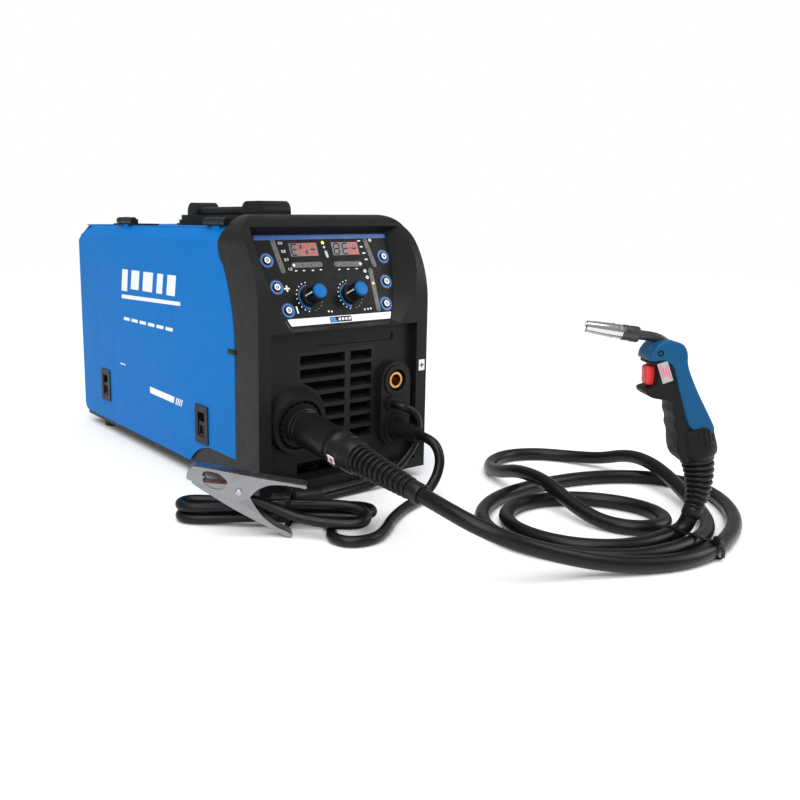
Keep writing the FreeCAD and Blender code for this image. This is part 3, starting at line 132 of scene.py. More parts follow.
def makeFinish(name, look):
    finish = bpy.data.materials.new(name)
    finish.use_nodes = True
    tree = finish.node_tree
    shader = tree.nodes["Principled BSDF"]
    colour = tree.nodes.new("ShaderNodeGroup")
    colour.node_tree = drift
    colour.inputs["Colour"].default_value = (*look["colour"], 1)
    colour.inputs["Second"].default_value = (*look.get("second", look["colour"]), 1)
    colour.inputs["Scale"].default_value = look.get("patch", 25.0)
    colour.inputs["Low"].default_value = look["rough"][0]
    colour.inputs["High"].default_value = look["rough"][1]
    tree.links.new(colour.outputs["Colour"], shader.inputs["Base Color"])
    tree.links.new(colour.outputs["Roughness"], shader.inputs["Roughness"])
    texture = tree.nodes.new("ShaderNodeGroup")
    texture.node_tree = grain
    texture.inputs["Scale"].default_value = look.get("grain", 900.0)
    texture.inputs["Stretch"].default_value = look.get("stretch", (1, 1, 1))
    bump = tree.nodes.new("ShaderNodeBump")
    bump.inputs["Strength"].default_value = look.get("relief", 0.2)
    bump.inputs["Distance"].default_value = 0.0002
    tree.links.new(texture.outputs["Height"], bump.inputs["Height"])
    tree.links.new(bump.outputs["Normal"], shader.inputs["Normal"])
    shader.inputs["Metallic"].default_value = look.get("metal", 0.0)
    shader.inputs["Coat Weight"].default_value = look.get("coat", 0.0)
    shader.inputs["Coat Roughness"].default_value = look.get("coatRough", 0.15)
    shader.inputs["Specular IOR Level"].default_value = look.get("specular", 0.5)
    if "glow" in look:
        shader.inputs["Emission Color"].default_value = (*look["glow"], 1)
        shader.inputs["Emission Strength"].default_value = look.get("glowStrength", 2.0)
    return finish


looks = {
    "bluePaint": {"colour": (0.0, 0.142, 0.455), "second": (0.0, 0.146, 0.462), "rough": (0.42, 0.5), "patch": 12,
                  "grain": 700, "relief": 0.06, "specular": 0.07},
    "blackCase": {"colour": (0.007, 0.007, 0.0075), "second": (0.010, 0.010, 0.010), "rough": (0.34, 0.46), "patch": 18,
                  "grain": 1500, "relief": 0.22, "specular": 0.17},
    "blackGrille": {"colour": (0.006, 0.006, 0.006), "second": (0.008, 0.008, 0.008), "rough": (0.38, 0.5), "grain": 1500,
                    "relief": 0.22, "specular": 0.25},
    "printBlack": {"colour": (0.005, 0.005, 0.006), "second": (0.006, 0.006, 0.007), "rough": (0.3, 0.4), "grain": 2500,
                   "relief": 0.03, "specular": 0.12},
    "printBlue": {"colour": (0.004, 0.07, 0.30), "second": (0.005, 0.08, 0.33), "rough": (0.25, 0.35), "relief": 0.03},
    "printWhite": {"colour": (0.78, 0.80, 0.80), "second": (0.74, 0.76, 0.77), "rough": (0.3, 0.4), "relief": 0.03},
    "printSilver": {"colour": (0.42, 0.44, 0.46), "second": (0.36, 0.38, 0.40), "rough": (0.3, 0.4), "metal": 0.6},
    "ringBlue": {"colour": (0.004, 0.16, 0.50), "second": (0.006, 0.18, 0.54), "rough": (0.25, 0.35), "relief": 0.04},
    "displayDark": {"colour": (0.020, 0.006, 0.007), "second": (0.026, 0.008, 0.009), "rough": (0.08, 0.14), "relief": 0.0,
                    "coat": 0.6},
    "digitUnlit": {"colour": (0.03, 0.022, 0.022), "second": (0.034, 0.025, 0.025), "rough": (0.3, 0.4), "specular": 0.1},
    "digitRed": {"colour": (0.5, 0.02, 0.01), "rough": (0.3, 0.4), "glow": (1.0, 0.02, 0.01), "glowStrength": 0.45},
    "ledAmber": {"colour": (0.6, 0.5, 0.05), "rough": (0.2, 0.3), "glow": (0.8, 0.75, 0.15), "glowStrength": 1.2},
    "knobBlue": {"colour": (0.0, 0.11, 0.35), "second": (0.001, 0.12, 0.37), "specular": 0.15,
                 "rough": (0.3, 0.4), "grain": 1200, "relief": 0.1},
    "keyRubber": {"colour": (0.012, 0.013, 0.016), "second": (0.016, 0.017, 0.020), "rough": (0.4, 0.5), "relief": 0.15},
    "rubberBlack": {"colour": (0.006, 0.006, 0.006), "second": (0.008, 0.008, 0.008), "specular": 0.24,
                    "rough": (0.28, 0.38), "patch": 60, "grain": 900, "relief": 0.25},
    "cableBlack": {"colour": (0.0035, 0.0035, 0.0035), "second": (0.005, 0.005, 0.005), "rough": (0.28, 0.38), "patch": 40,
                   "grain": 1300, "relief": 0.15, "specular": 0.22},
    "gripBlack": {"colour": (0.006, 0.006, 0.006), "second": (0.008, 0.008, 0.008), "specular": 0.14,
                  "rough": (0.40, 0.52), "grain": 1400, "relief": 0.4},
    "gunBlue": {"colour": (0.002, 0.064, 0.165), "second": (0.003, 0.070, 0.18), "specular": 0.16,
                "rough": (0.34, 0.44), "grain": 1500, "relief": 0.25},
    "triggerRed": {"colour": (0.62, 0.018, 0.022), "second": (0.66, 0.025, 0.028), "rough": (0.28, 0.38), "relief": 0.08},
    "clampSteel": {"colour": (0.30, 0.30, 0.31), "second": (0.22, 0.22, 0.23), "rough": (0.28, 0.46), "metal": 1.0,
                   "patch": 60, "grain": 260, "stretch": (1, 1, 9), "relief": 0.3},
    "zincSteel": {"colour": (0.48, 0.48, 0.50), "second": (0.40, 0.41, 0.42), "rough": (0.3, 0.42), "metal": 1.0,
                  "patch": 70, "grain": 500, "relief": 0.15},
    "dullSteel": {"colour": (0.20, 0.20, 0.21), "second": (0.14, 0.14, 0.15), "rough": (0.4, 0.55), "metal": 1.0,
                  "patch": 60, "grain": 500, "relief": 0.2},
    "gunChrome": {"colour": (0.62, 0.62, 0.63), "second": (0.55, 0.55, 0.56), "rough": (0.09, 0.16), "metal": 1.0,
                  "patch": 90, "grain": 600, "stretch": (1, 1, 6), "relief": 0.12},
    "gunNeck": {"colour": (0.035, 0.035, 0.037), "second": (0.05, 0.05, 0.052), "rough": (0.25, 0.38), "metal": 0.5,
                "relief": 0.1},
    "brass": {"colour": (0.66, 0.38, 0.13), "second": (0.52, 0.27, 0.09), "rough": (0.2, 0.34), "metal": 1.0, "patch": 120,
              "grain": 700, "relief": 0.15},
    "copper": {"colour": (0.85, 0.42, 0.24), "second": (0.7, 0.3, 0.16), "rough": (0.25, 0.42), "metal": 1.0,
               "patch": 150, "grain": 500, "stretch": (3, 3, 1), "relief": 0.35},
    "boardGreen": {"colour": (0.01, 0.09, 0.03), "second": (0.014, 0.11, 0.04), "rough": (0.3, 0.45), "relief": 0.1},
    "reelBlack": {"colour": (0.02, 0.02, 0.022), "second": (0.03, 0.03, 0.032), "rough": (0.35, 0.45), "relief": 0.15},
    "rockerRed": {"colour": (0.5, 0.012, 0.01), "rough": (0.25, 0.35), "coat": 0.4},
    "laminate": {"colour": (0.10, 0.10, 0.105), "second": (0.07, 0.07, 0.075), "rough": (0.4, 0.5), "metal": 0.8,
                 "grain": 900, "stretch": (0.1, 1, 0.1), "relief": 0.6},
    "labelPink": {"colour": (0.75, 0.06, 0.18), "rough": (0.3, 0.4)},
    "barGrey": {"colour": (0.075, 0.07, 0.07), "second": (0.09, 0.085, 0.085), "rough": (0.3, 0.4), "relief": 0.03},
    "darkBlue": {"colour": (0.002, 0.022, 0.085), "second": (0.003, 0.026, 0.095), "rough": (0.25, 0.35), "relief": 0.03},
    "ledPink": {"colour": (0.8, 0.45, 0.42), "rough": (0.2, 0.3), "glow": (1.0, 0.55, 0.5), "glowStrength": 0.8},
    "ledOff": {"colour": (0.02, 0.012, 0.012), "rough": (0.15, 0.25), "coat": 0.4},
}
finishes = {name: makeFinish(name, look) for name, look in looks.items()}
print("finishes made", len(finishes))


# ways of making a piece
def pick(piece):
    bpy.ops.object.select_all(action="DESELECT")
    piece.select_set(True)
    bpy.context.view_layer.objects.active = piece


def applyPlace(piece):  # place, turn and scale go into the mesh
    pick(piece)
    bpy.ops.object.transform_apply(location=True, rotation=True, scale=True)
    return piece


def inMetres(points):
    return [(x / 1000, y / 1000) for x, y in points]


def settle(piece, name, finish, body, place=None, angle=35):  # a finished piece: named, placed, riding
    piece.name = piece.data.name = name
    if place is not None:
        piece.matrix_world = place @ piece.matrix_world
    applyPlace(piece)
    bpy.ops.object.shade_smooth_by_angle(angle=math.radians(angle))
    piece.data.materials.clear()
    piece.data.materials.append(finishes[finish])
    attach(piece, body)
    return piece


def soften(piece, width, segments=3, limit=30):  # rounded edges, applied
    pick(piece)
    bevel = piece.modifiers.new("edges", "BEVEL")
    bevel.width = width
    bevel.segments = segments
    bevel.limit_method = "ANGLE"
    bevel.angle_limit = math.radians(limit)
    bpy.ops.object.modifier_apply(modifier=bevel.name)
    return piece


def closed(piece):  # faces turned outwards, back in object mode
    bpy.ops.mesh.select_all(action="SELECT")
    bpy.ops.mesh.normals_make_consistent(inside=False)
    bpy.ops.object.mode_set(mode="OBJECT")
    return piece


def pulledUp(piece, depth):
    bpy.ops.mesh.select_all(action="SELECT")
    bpy.ops.mesh.extrude_region_move(TRANSFORM_OT_translate={"value": (0, 0, depth)})
    return closed(piece)


def ringAt(segments, radius, height, fill):  # flat round start, in edit mode
    bpy.ops.object.select_all(action="DESELECT")
    bpy.ops.mesh.primitive_circle_add(vertices=segments, radius=radius, fill_type=fill, location=(0, 0, height))
    piece = applyPlace(bpy.context.object)
    bpy.ops.object.mode_set(mode="EDIT")
    bpy.ops.mesh.select_all(action="SELECT")
    return piece


def turned(steps, segments=48):  # round piece from (radius, height) steps in millimetres, grown upwards ring by ring
    radius, height = inMetres(steps)[0]
    piece = ringAt(segments, radius, height, "NGON")
    for nextRadius, nextHeight in inMetres(steps)[1:]:
        bpy.ops.mesh.extrude_region_move(TRANSFORM_OT_translate={"value": (0, 0, nextHeight - height)})
        share = nextRadius / radius
        bpy.ops.transform.resize(value=(share, share, 1), center_override=(0, 0, nextHeight))
        radius, height = nextRadius, nextHeight
    return closed(piece)


def slab(size, bevel=0.0, segments=2, middle=(0, 0, 0)):  # block with rounded edges
    bpy.ops.object.select_all(action="DESELECT")
    bpy.ops.mesh.primitive_cube_add(size=1, location=middle)
    piece = bpy.context.object
    piece.scale = size
    applyPlace(piece)
    return soften(piece, bevel, segments) if bevel else piece


def flatShape(points, fill, height=0.0):  # flat outline with its corners put in place, in edit mode
    piece = ringAt(len(points), 1, 0, fill)
    shape = bmesh.from_edit_mesh(piece.data)
    shape.verts.ensure_lookup_table()
    for vertex, (x, y) in zip(shape.verts, points):
        vertex.co = (x, y, height)
    bmesh.update_edit_mesh(piece.data)
    return piece


def outline(points, depth, bevel=0.0, segments=2):  # flat shape in X and Y pulled up by depth
    piece = pulledUp(flatShape(points, "NGON"), depth)
    return soften(piece, bevel, segments) if bevel else piece


def ribsRound(count, size, bevel, middle):  # the same rib set round the Z axis
    ribs = [slab(size, bevel, 1, middle) for _ in range(count)]
    for i, rib in enumerate(ribs):
        rib.matrix_world = Matrix.Rotation(2 * math.pi * i / count, 4, "Z")
    return ribs


def joined(parts):
    bpy.ops.object.select_all(action="DESELECT")
    for part in parts:
        part.select_set(True)
    bpy.context.view_layer.objects.active = parts[0]
    if len(parts) > 1:
        bpy.ops.object.join()
    return parts[0]


def frameAt(origin, across, out):  # X along across, Z along out
    z = Vector(out).normalized()
    x = (Vector(across) - z * Vector(across).dot(z)).normalized()
    y = z.cross(x)
    place = Matrix((x, y, z)).transposed().to_4x4()
    place.translation = Vector(origin)
    return place


def paint(name, finish):
    node = nodes[name]
    node.data.materials.clear()
    node.data.materials.append(finishes[finish])


def cordCurve(name, points, thickness, finish):
    curve = bpy.data.curves.new(name, "CURVE")
    curve.dimensions = "3D"
    spline = curve.splines.new("NURBS")
    spline.points.add(len(points) - 1)
    for point, place in zip(spline.points, points):
        point.co = (*place, 1)
    spline.order_u = 3
    spline.use_endpoint_u = True
    spline.resolution_u = 8
    curve.resolution_u = 8
    curve.bevel_depth = thickness / 2
    curve.bevel_resolution = 6
    curve.use_fill_caps = True
    cord = bpy.data.objects.new(name, curve)
    bpy.context.scene.collection.objects.link(cord)
    curve.materials.append(finishes[finish])
    return cord


def fromCase(x, y, z):  # millimetres from the middle of the case, as the cords' routes are drawn
    return Vector((x / 1000 + caseMiddle, y / 1000, z / 1000))


# cords
droop = Vector(jointOf["connector_nut_turn"]["axis"])
bossFace = Vector(jointOf["connector_nut_turn"]["pos_m"]) + droop * 0.005


def onBoss(ahead):
    return bossFace + droop * ahead


gunCable = {"thickness": 0.0145, "length": 2.25, "reliefEnd": 0.190, "leadIn": 0.026, "route": [
    (-56, -334, 48), (-36, -358, 37), (-5, -372, 25), (34, -388, 13), (74, -408, 8), (112, -421, 7.5),
    (152, -422, 8.8), (192, -412, 7.5), (232, -396, 7.5), (270, -370, 7.5), (302, -334, 7.5), (316, -296, 7.5),
    (304, -262, 7.5), (276, -236, 7.5), (236, -217, 7.5), (190, -208, 7.5), (144, -206, 7.5), (98, -213, 7.5),
    (57, -234, 7.5), (30, -266, 7.5), (22, -302, 7.5), (30, -338, 7.5), (52, -370, 7.5), (84, -392, 7.5),
    (120, -401, 8), (156, -402, 8.8), (194, -391, 7.5), (228, -368, 7.5), (256, -336, 10), (278, -298, 20),
    (292, -262, 28), (302, -226, 26), (305, -188, 12), (296, -150, 7.5), (274, -120, 7.5), (240, -104, 7.5),
    (204, -110, 7.5), (174, -134, 8), (156, -168, 16), (146, -204, 28), (139, -246, 28), (132, -284, 16),
    (131, -318, 8), (142, -347, 7.5), (168, -360, 7.5), (194, -348, 7.5), (204, -320, 7.5), (196, -288, 7.5),
    (174, -260, 7.5), (142, -243, 7.5), (106, -238, 7.5), (74, -250, 7.5), (53, -276, 7.5), (48, -308, 7.5),
    (59, -341, 7.5), (84, -366, 7.5), (114, -377, 7.5), (140, -379.5, 8.8), (158, -381.5, 10.8),
    (166.4, -385.6, 17.4), (168.8, -387.2, 28)]}
gunRoute = [onBoss(gunCable["reliefEnd"]), onBoss(gunCable["reliefEnd"] + gunCable["leadIn"])]
gunRoute += [fromCase(*point) for point in gunCable["route"]]
torchCable = cordCurve("gunCable", gunRoute, gunCable["thickness"], "cableBlack")
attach(torchCable, "case")
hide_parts("torch_cable")

hank = {"left": (-180, -74), "right": (-54, -186), "turns": 2, "layer": 11.2, "floor": 5.5,
        "back": [(0.2, 7), (-0.2, 8), (-0.6, 11), (-0.95, 13)], "leftEnd": [(-1.1, 9.6), (-1.155, 0), (-1.1, -9.6)],
        "front": [(-0.95, -13), (-0.6, -11), (-0.2, -8), (0.15, -6), (0.5, -9), (0.9, -13)],
        "rightEnd": [(1.06, -9.8), (1.12, 0), (1.06, 9.8), (0.9, 13), (0.52, 9)]}
earth = {"thickness": 0.0105, "length": 1.2, "route": [
    (69, -128, 62), (69, -144, 61.5), (71, -156, 54), (70, -162, 38),
    (60, -164, 20), (40, -168, 8), (8, -177, 5.6), (-26, -196, 5.6), (-50, -216, 5.6), (-74, -228, 5.6),
    (-97, -222, 5.6), (-104, -203, 5.6), (-92, -188, 5.6), (-84, -172, 5.6), (-86, -150, 5.6)],
    "tail": [(-76, -184, 26), (-67, -197, 25), (-66, -208, 21.5), (-75, -215, 18), (-87, -210, 16.6), (-104, -191, 16.5),
             (-120, -173, 19), (-134, -159, 26), (-148, -148, 32.5), (-156, -142.5, 35.5)]}


def hankTurns():  # each turn runs along the back, round the left end, along the front and round the right end
    left, right = Vector((*hank["left"], 0)), Vector((*hank["right"], 0))
    along = (right - left) / 2
    side = Vector((-along.y, along.x, 0)).normalized()
    stations = hank["back"] + hank["leftEnd"] + hank["front"] + hank["rightEnd"]
    points = []
    for turn in range(hank["turns"]):
        if turn == hank["turns"] - 1:
            stations = stations[:-6]  # the last turn leaves the hank for the clamp
        for step, (share, across) in enumerate(stations):
            place = (left + right) / 2 + along * share + side * across
            rise = min(1, max(0, (step - 7) / 6))
            points.append((place.x, place.y, hank["floor"] + hank["layer"] * (turn + rise)))
    return points


earthRoute = [fromCase(*point) for point in earth["route"] + hankTurns() + earth["tail"]]
earthLead = cordCurve("earthLead", earthRoute, earth["thickness"], "cableBlack")
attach(earthLead, "case")
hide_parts("earth_lead", "lead_hank")

polarity = {"thickness": 0.009, "length": 0.21, "route": [
    (62, -92.5, 91), (62.6, -99, 90.8), (67, -105.5, 89.5), (76, -108, 85), (84.5, -108, 76), (87.5, -106.5, 63),
    (86, -105, 50), (78, -104, 36), (65, -103, 23.5), (48, -102, 13.5), (28, -101, 7), (4, -100, 5),
    (-20, -100.5, 4.8), (-46, -102, 4.8)]}
polarityRoute = [fromCase(*point) for point in polarity["route"]]
polarityLead = cordCurve("polarityLead", polarityRoute, polarity["thickness"], "cableBlack")
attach(polarityLead, "case")
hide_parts("polarity_lead")
print("cords laid")

# finishes of the designed parts
finishOf = {
    "bluePaint": ["side_door", "case_cover", "rear_panel"],
    "blackCase": ["front_bezel", "base_pan", "carry_handle", "hinge_brackets", "latch_housings", "latch_slider_rear",
                  "latch_slider_front", "connector_housing", "rear_fittings", "fan_frame", "weld_sockets", "gun_socket",
                  "earth_plug", "polarity_plug", "lead_gland", "connector_nut"],
    "blackGrille": ["front_grille", "fan_rotor"],
    "printBlack": ["fascia_panel"],
    "boardGreen": ["control_board", "inverter_board"],
    "knobBlue": ["left_knob", "right_knob"],
    "zincSteel": ["case_screws", "feeder_plate", "centre_partition", "pressure_arm", "feed_motor"],
    "dullSteel": ["drive_roll", "pressure_roll"],
    "clampSteel": ["clamp_body", "clamp_lever"],
    "rubberBlack": ["rubber_feet", "cable_relief", "torch_relief"],
    "reelBlack": ["spool_hub", "wire_spool"],
    "laminate": ["main_transformer"],
    "brass": ["socket_contacts"],
    "triggerRed": ["torch_trigger", "tension_knob"],
    "rockerRed": ["power_rocker"],
    "gunBlue": ["torch_shell"],
    "gripBlack": ["torch_grip", "cable_ties"],
    "gunNeck": ["torch_neck"],
    "gunChrome": ["torch_nozzle"],
    "keyRubber": [name for name in nodes if name.startswith("button_")],
}
for finish, names in finishOf.items():
    for name in names:
        paint(name, finish)
print("designed parts finished")

# control fascia: its own flat frame, in millimetres across and up the slope
fasciaOut = -Vector(jointOf["button_left_top_press"]["axis"])
fasciaUp = fasciaOut.cross(Vector((1, 0, 0)))
knobPlace = {"left": (-35.0, 31.0), "right": (19.0, 31.0)}
fasciaOrigin = Vector(jointOf["left_knob_turn"]["pos_m"]) + Vector((0.035, 0, 0)) - fasciaUp * 0.031
fasciaFrame = frameAt(fasciaOrigin, (1, 0, 0), fasciaOut)


def laid(points, height=0.15, low=0.0, bevel=0.0):  # flat print or lens, low above the fascia's face
    piece = outline(inMetres(points), height / 1000, bevel / 1000)
    piece.location.z += low / 1000
    return applyPlace(piece)


def discPoints(u, v, radius, count=20):
    return [(u + radius * math.cos(2 * math.pi * i / count), v + radius * math.sin(2 * math.pi * i / count))
            for i in range(count)]


def barPoints(a, b, radius, count=7):  # long bar with round ends
    turn = math.atan2(b[1] - a[1], b[0] - a[0])
    points = []
    for (u, v), first in ((b, turn - math.pi / 2), (a, turn + math.pi / 2)):
        for i in range(count):
            angle = first + math.pi * i / (count - 1)
            points.append((u + radius * math.cos(angle), v + radius * math.sin(angle)))
    return points


def between(a, b, share):
    return (a[0] + (b[0] - a[0]) * share, a[1] + (b[1] - a[1]) * share)


def blockPoints(u, v, halfWidth, halfHeight):
    return [(u - halfWidth, v - halfHeight), (u + halfWidth, v - halfHeight), (u + halfWidth, v + halfHeight),
            (u - halfWidth, v + halfHeight)]


def ringOf(outer, inner, height, segments=32, low=0.0):  # flat ring with its wall, grown inwards and up
    piece = ringAt(segments, outer / 1000, low / 1000, "NOTHING")
    share = inner / outer
    bpy.ops.mesh.extrude_region_move()
    bpy.ops.transform.resize(value=(share, share, 1), center_override=(0, 0, low / 1000))
    return pulledUp(piece, height / 1000)


def movedTo(piece, u, v, n=0.0, angle=0.0):
    piece.matrix_world = (Matrix.Translation((u / 1000, v / 1000, n / 1000)) @ Matrix.Rotation(angle, 4, "Z")
                          @ piece.matrix_world)
    return applyPlace(piece)


def onFascia(parts, name, finish):
    return settle(joined(parts), name, finish, "case", fasciaFrame)


def halfWidth(v):  # half the width of the fascia at v up the slope
    return 66 + 0.4457 * v - 0.00226 * v * v


def strip(low, high, inset=0.6):
    edge = [(halfWidth(low) - inset, low), (halfWidth(high) - inset, high)]
    return edge + [(-u, v) for u, v in reversed(edge)]


buttons = {"top": (77.5, 73.0), "middle": (72.8, 43.5), "bottom": (65.0, 18.0)}
onFascia([laid(strip(95.2, 100.4))], "blueStrip", "printBlue")
onFascia([laid(strip(0.7, 8.4))], "whiteStrip", "printWhite")
onFascia([laid(blockPoints(-1.7, 4.6, 14.3, 3.0), 0.1, 0.16)], "stripPlate", "printBlack")
onFascia([laid([(-15.4, 2.1), (-7, 2.1), (-9, 7.1), (-15.4, 7.1)], 0.08, 0.26)], "stripPlateBlue", "ringBlue")
onFascia([laid([(-5 + 4.4 * i, 3.2), (-2.2 + 4.4 * i, 3.2), (-1.4 + 4.4 * i, 6.0), (-4.2 + 4.4 * i, 6.0)], 0.08, 0.26)
          for i in range(4)], "stripPlateMarks", "printWhite")
rims, glows = [], []
for side in (-1, 1):
    for u, v in buttons.values():
        rims.append(movedTo(ringOf(8.3, 4.9, 0.1), side * u, v))
        glows.append(movedTo(ringOf(7.2, 5.9, 0.1, low=0.1), side * u, v))
onFascia(rims, "buttonRims", "darkBlue")
onFascia(glows, "buttonRings", "ringBlue")
for side, sign in (("left", -1), ("right", 1)):
    for word, (u, v) in buttons.items():
        mark = [movedTo(ringOf(3.5, 1.9, 0.16, low=1.36), sign * u, v)]
        mark.append(laid([(sign * u - 0.8, v - 1.1), (sign * u + 1.2, v), (sign * u - 0.8, v + 1.1)], 0.16, 1.36))
        settle(joined(mark), "keyMark_%s_%s" % (side, word), "printWhite", "key_%s_%s" % (side, word), fasciaFrame)
        dish = movedTo(ringOf(4.4, 3.6, 0.35, low=1.2), sign * u, v)
        soften(dish, 0.00012)
        settle(dish, "keyRim_%s_%s" % (side, word), "keyRubber", "key_%s_%s" % (side, word), fasciaFrame)
print("fascia strips and keys")

display = {"middles": (-28.5, 27.0), "v": 84.0, "size": (35.9, 14.9), "pitch": 12.0, "digit": (7.2, 12.0), "bar": 1.5,
           "lean": 0.10, "shown": ("120", " 10")}
litOf = {"0": "abcdef", "1": "bc", "2": "abged", " ": ""}


def segmentPoints(middle, length, upright):
    t = display["bar"] / 2
    line = [(-length / 2, 0), (-length / 2 + t, t), (length / 2 - t, t), (length / 2, 0), (length / 2 - t, -t),
            (-length / 2 + t, -t)]
    points = [(-y, x) if upright else (x, y) for x, y in line]
    return [(middle[0] + x + (middle[1] + y) * display["lean"], middle[1] + y + display["v"]) for x, y in points]


lit, unlit, lenses = [], [], []
width, height = display["digit"]
for u, shown in zip(display["middles"], display["shown"]):
    w, h = display["size"]
    lenses.append(laid(blockPoints(u, display["v"], w / 2, h / 2), 0.3, -0.38))
    for place, letter in zip((-1, 0, 1), shown):
        x = u + place * display["pitch"]
        bars = {"a": ((x, height / 2), width, False), "d": ((x, -height / 2), width, False), "g": ((x, 0), width, False),
                "b": ((x + width / 2, height / 4), height / 2, True), "c": ((x + width / 2, -height / 4), height / 2, True),
                "f": ((x - width / 2, height / 4), height / 2, True), "e": ((x - width / 2, -height / 4), height / 2, True)}
        for key, (middle, length, upright) in bars.items():
            piece = laid(segmentPoints(middle, length - 0.5, upright), 0.12, -0.08)
            (lit if key in litOf[letter] else unlit).append(piece)
onFascia(lenses, "displayLenses", "displayDark")
onFascia(lit, "displayLit", "digitRed")
onFascia(unlit, "displayUnlit", "digitUnlit")
bars = [{"ends": ((-65.4, 93.4), (-60.6, 61.2)), "lamps": 4, "lit": None},
        {"ends": ((57, 92.5), (62, 63.8)), "lamps": 4, "lit": None},
        {"ends": ((54.4, 57.3), (52.6, 12.4)), "lamps": 4, "lit": 1},
        {"ends": ((-45.6, 66.7), (-11.4, 66.7)), "lamps": 4, "lit": 0},
        {"ends": ((9.4, 66.2), (42.4, 65.6)), "lamps": 4, "lit": 3}]
grounds, lampsOff, lampsOn = [], [], []
for bar in bars:
    a, b = bar["ends"]
    grounds.append(laid(barPoints(a, b, 2.9), 0.1))
    for i in range(bar["lamps"]):
        u, v = between(a, b, i / (bar["lamps"] - 1))
        lamp = laid(discPoints(u, v, 1.5 if i == bar["lit"] else 1.1), 0.2, 0.1, 0.05)
        (lampsOn if i == bar["lit"] else lampsOff).append(lamp)
onFascia(grounds, "lampBars", "barGrey")
onFascia(lampsOff, "lampsOff", "ledOff")
onFascia(lampsOn, "lampsOn", "ledPink")
onFascia([laid(discPoints(-2.0, 91.2, 1.9), 0.25, 0.0, 0.08)], "readyLamp", "ledAmber")
onFascia([laid(discPoints(-1.4, 86.0, 1.5), 0.2), laid(barPoints((-0.6, 80.5), (0.2, 75.6), 1.7), 0.2)], "sideLamps",
         "printSilver")
marks = []
for u, v in knobPlace.values():
    for i in range(10):  # dots round the left of each dial
        angle = math.radians(96 + 17.5 * i)
        marks.append(laid(discPoints(u + 16.2 * math.cos(angle), v + 16.2 * math.sin(angle), 0.75, 10), 0.1))
    for i in range(7):  # fine marks on the right
        angle = math.radians(-75 + 17 * i)
        marks.append(laid(discPoints(u + 15.6 * math.cos(angle), v + 15.6 * math.sin(angle), 0.4, 8), 0.1))
for u, v in ((-44.5, 60.5), (-34.4, 60.4), (-23, 60.2), (-12.5, 60.6), (12, 60), (24, 60), (36, 60)):
    marks.append(laid([(u - 1.6, v - 0.5), (u + 1.6, v - 0.5), (u + 1.2, v + 0.6), (u - 1.2, v + 0.6)], 0.1))
for u, v in ((48.5, 92.5), (50, 85.5), (51.5, 78), (52.6, 70.5)):
    marks.append(laid(blockPoints(u - 0.4, v, 2.0, 0.7), 0.1))
for u, v in ((46.5, 57.0), (47.6, 49.6), (64.0, 93.0)):
    marks.append(movedTo(ringOf(2.0, 1.1, 0.1, 16), u, v))
    marks.append(laid(blockPoints(u, v, 0.9, 0.3), 0.1))
for half in ((3.4, 0.9), (0.9, 3.4)):  # the cross beside the middle left key
    marks.append(laid(blockPoints(-60.8, 41.5, *half), 0.1))
for u, v in ((-15, 14), (-11, 13.6), (38, 13.4), (42, 13.8), (33.5, 13.2)):
    marks.append(laid(discPoints(u, v, 1.1, 12), 0.1))
marks.append(laid([(-54.6, 14), (-52.9, 14), (-53.6, 22), (-55.3, 22)], 0.1))
onFascia(marks, "fasciaMarks", "printWhite")
arcs = []
for u, v in knobPlace.values():
    for i in range(15):
        angle = math.radians(100 + 11.2 * i)
        size = 0.55 + 0.055 * i
        arcs.append(movedTo(laid(blockPoints(0, 0, size, 0.7), 0.1), u + 13.2 * math.cos(angle), v + 13.2 * math.sin(angle),
                            0, angle))
onFascia(arcs, "dialArcs", "ringBlue")


def written(words, size, u, v):  # numbers beside a bar of lamps
    bpy.ops.object.select_all(action="DESELECT")
    bpy.ops.object.text_add(location=(0, 0, 0))
    text = bpy.context.object
    text.data.body = words
    text.data.size = size / 1000
    text.data.extrude = 0.00005
    text.data.align_x = "CENTER"
    text.data.align_y = "CENTER"
    bpy.ops.object.convert(target="MESH")
    return movedTo(bpy.context.object, u, v, 0.05)


numbers = [written(words, 4.4, u, v) for words, u, v in
           (("0.6", -56.5, 91.6), ("0.8", -54.9, 82.4), ("0.9", -53.2, 73.0), ("1.0", -51.4, 62.6))]
onFascia(numbers, "wireSizes", "printWhite")
print("fascia print laid")

# knobs: ribbed black barrel with a blue cap
knob = {"skirt": 10.0, "barrel": 8.3, "height": 22.0, "ribs": 26, "cap": 7.7}
for side, (u, v) in knobPlace.items():
    place = fasciaFrame @ Matrix.Translation((u / 1000, v / 1000, 0))
    barrel = turned(((knob["skirt"], 0.6), (knob["skirt"], 2.0), (9.2, 3.4),
                    (knob["barrel"], 4.4), (knob["barrel"], 18.6), (8.1, 19.2), (7.9, 19.2), (7.9, 18.4)), 52)
    ribs = ribsRound(knob["ribs"], (0.0011, 0.0008, 0.0128), 0.0002, (knob["barrel"] / 1000, 0, 0.0117))
    pointer = slab((0.0008, 0.0012, 0.013), 0.0002, 1, (-0.0087, 0, 0.0118))
    body = settle(joined([barrel] + ribs), side + "KnobBarrel", "blackCase", "knob_" + side, place)
    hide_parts(side + "_knob")
    cap = turned(((knob["cap"], 18.2), (knob["cap"], 21.2), (7.2, 21.8), (6.2, 22.0),
                  (5.8, 21.7), (0.2, 21.7)), 48)
    settle(cap, side + "KnobCap", "knobBlue", "knob_" + side, place)
    settle(pointer, side + "KnobPointer", "printWhite", "knob_" + side, place)
print("knobs made")

# gun socket, connector and the ribbed reliefs
bossFrame = frameAt(bossFace, (1, 0, 0), droop)


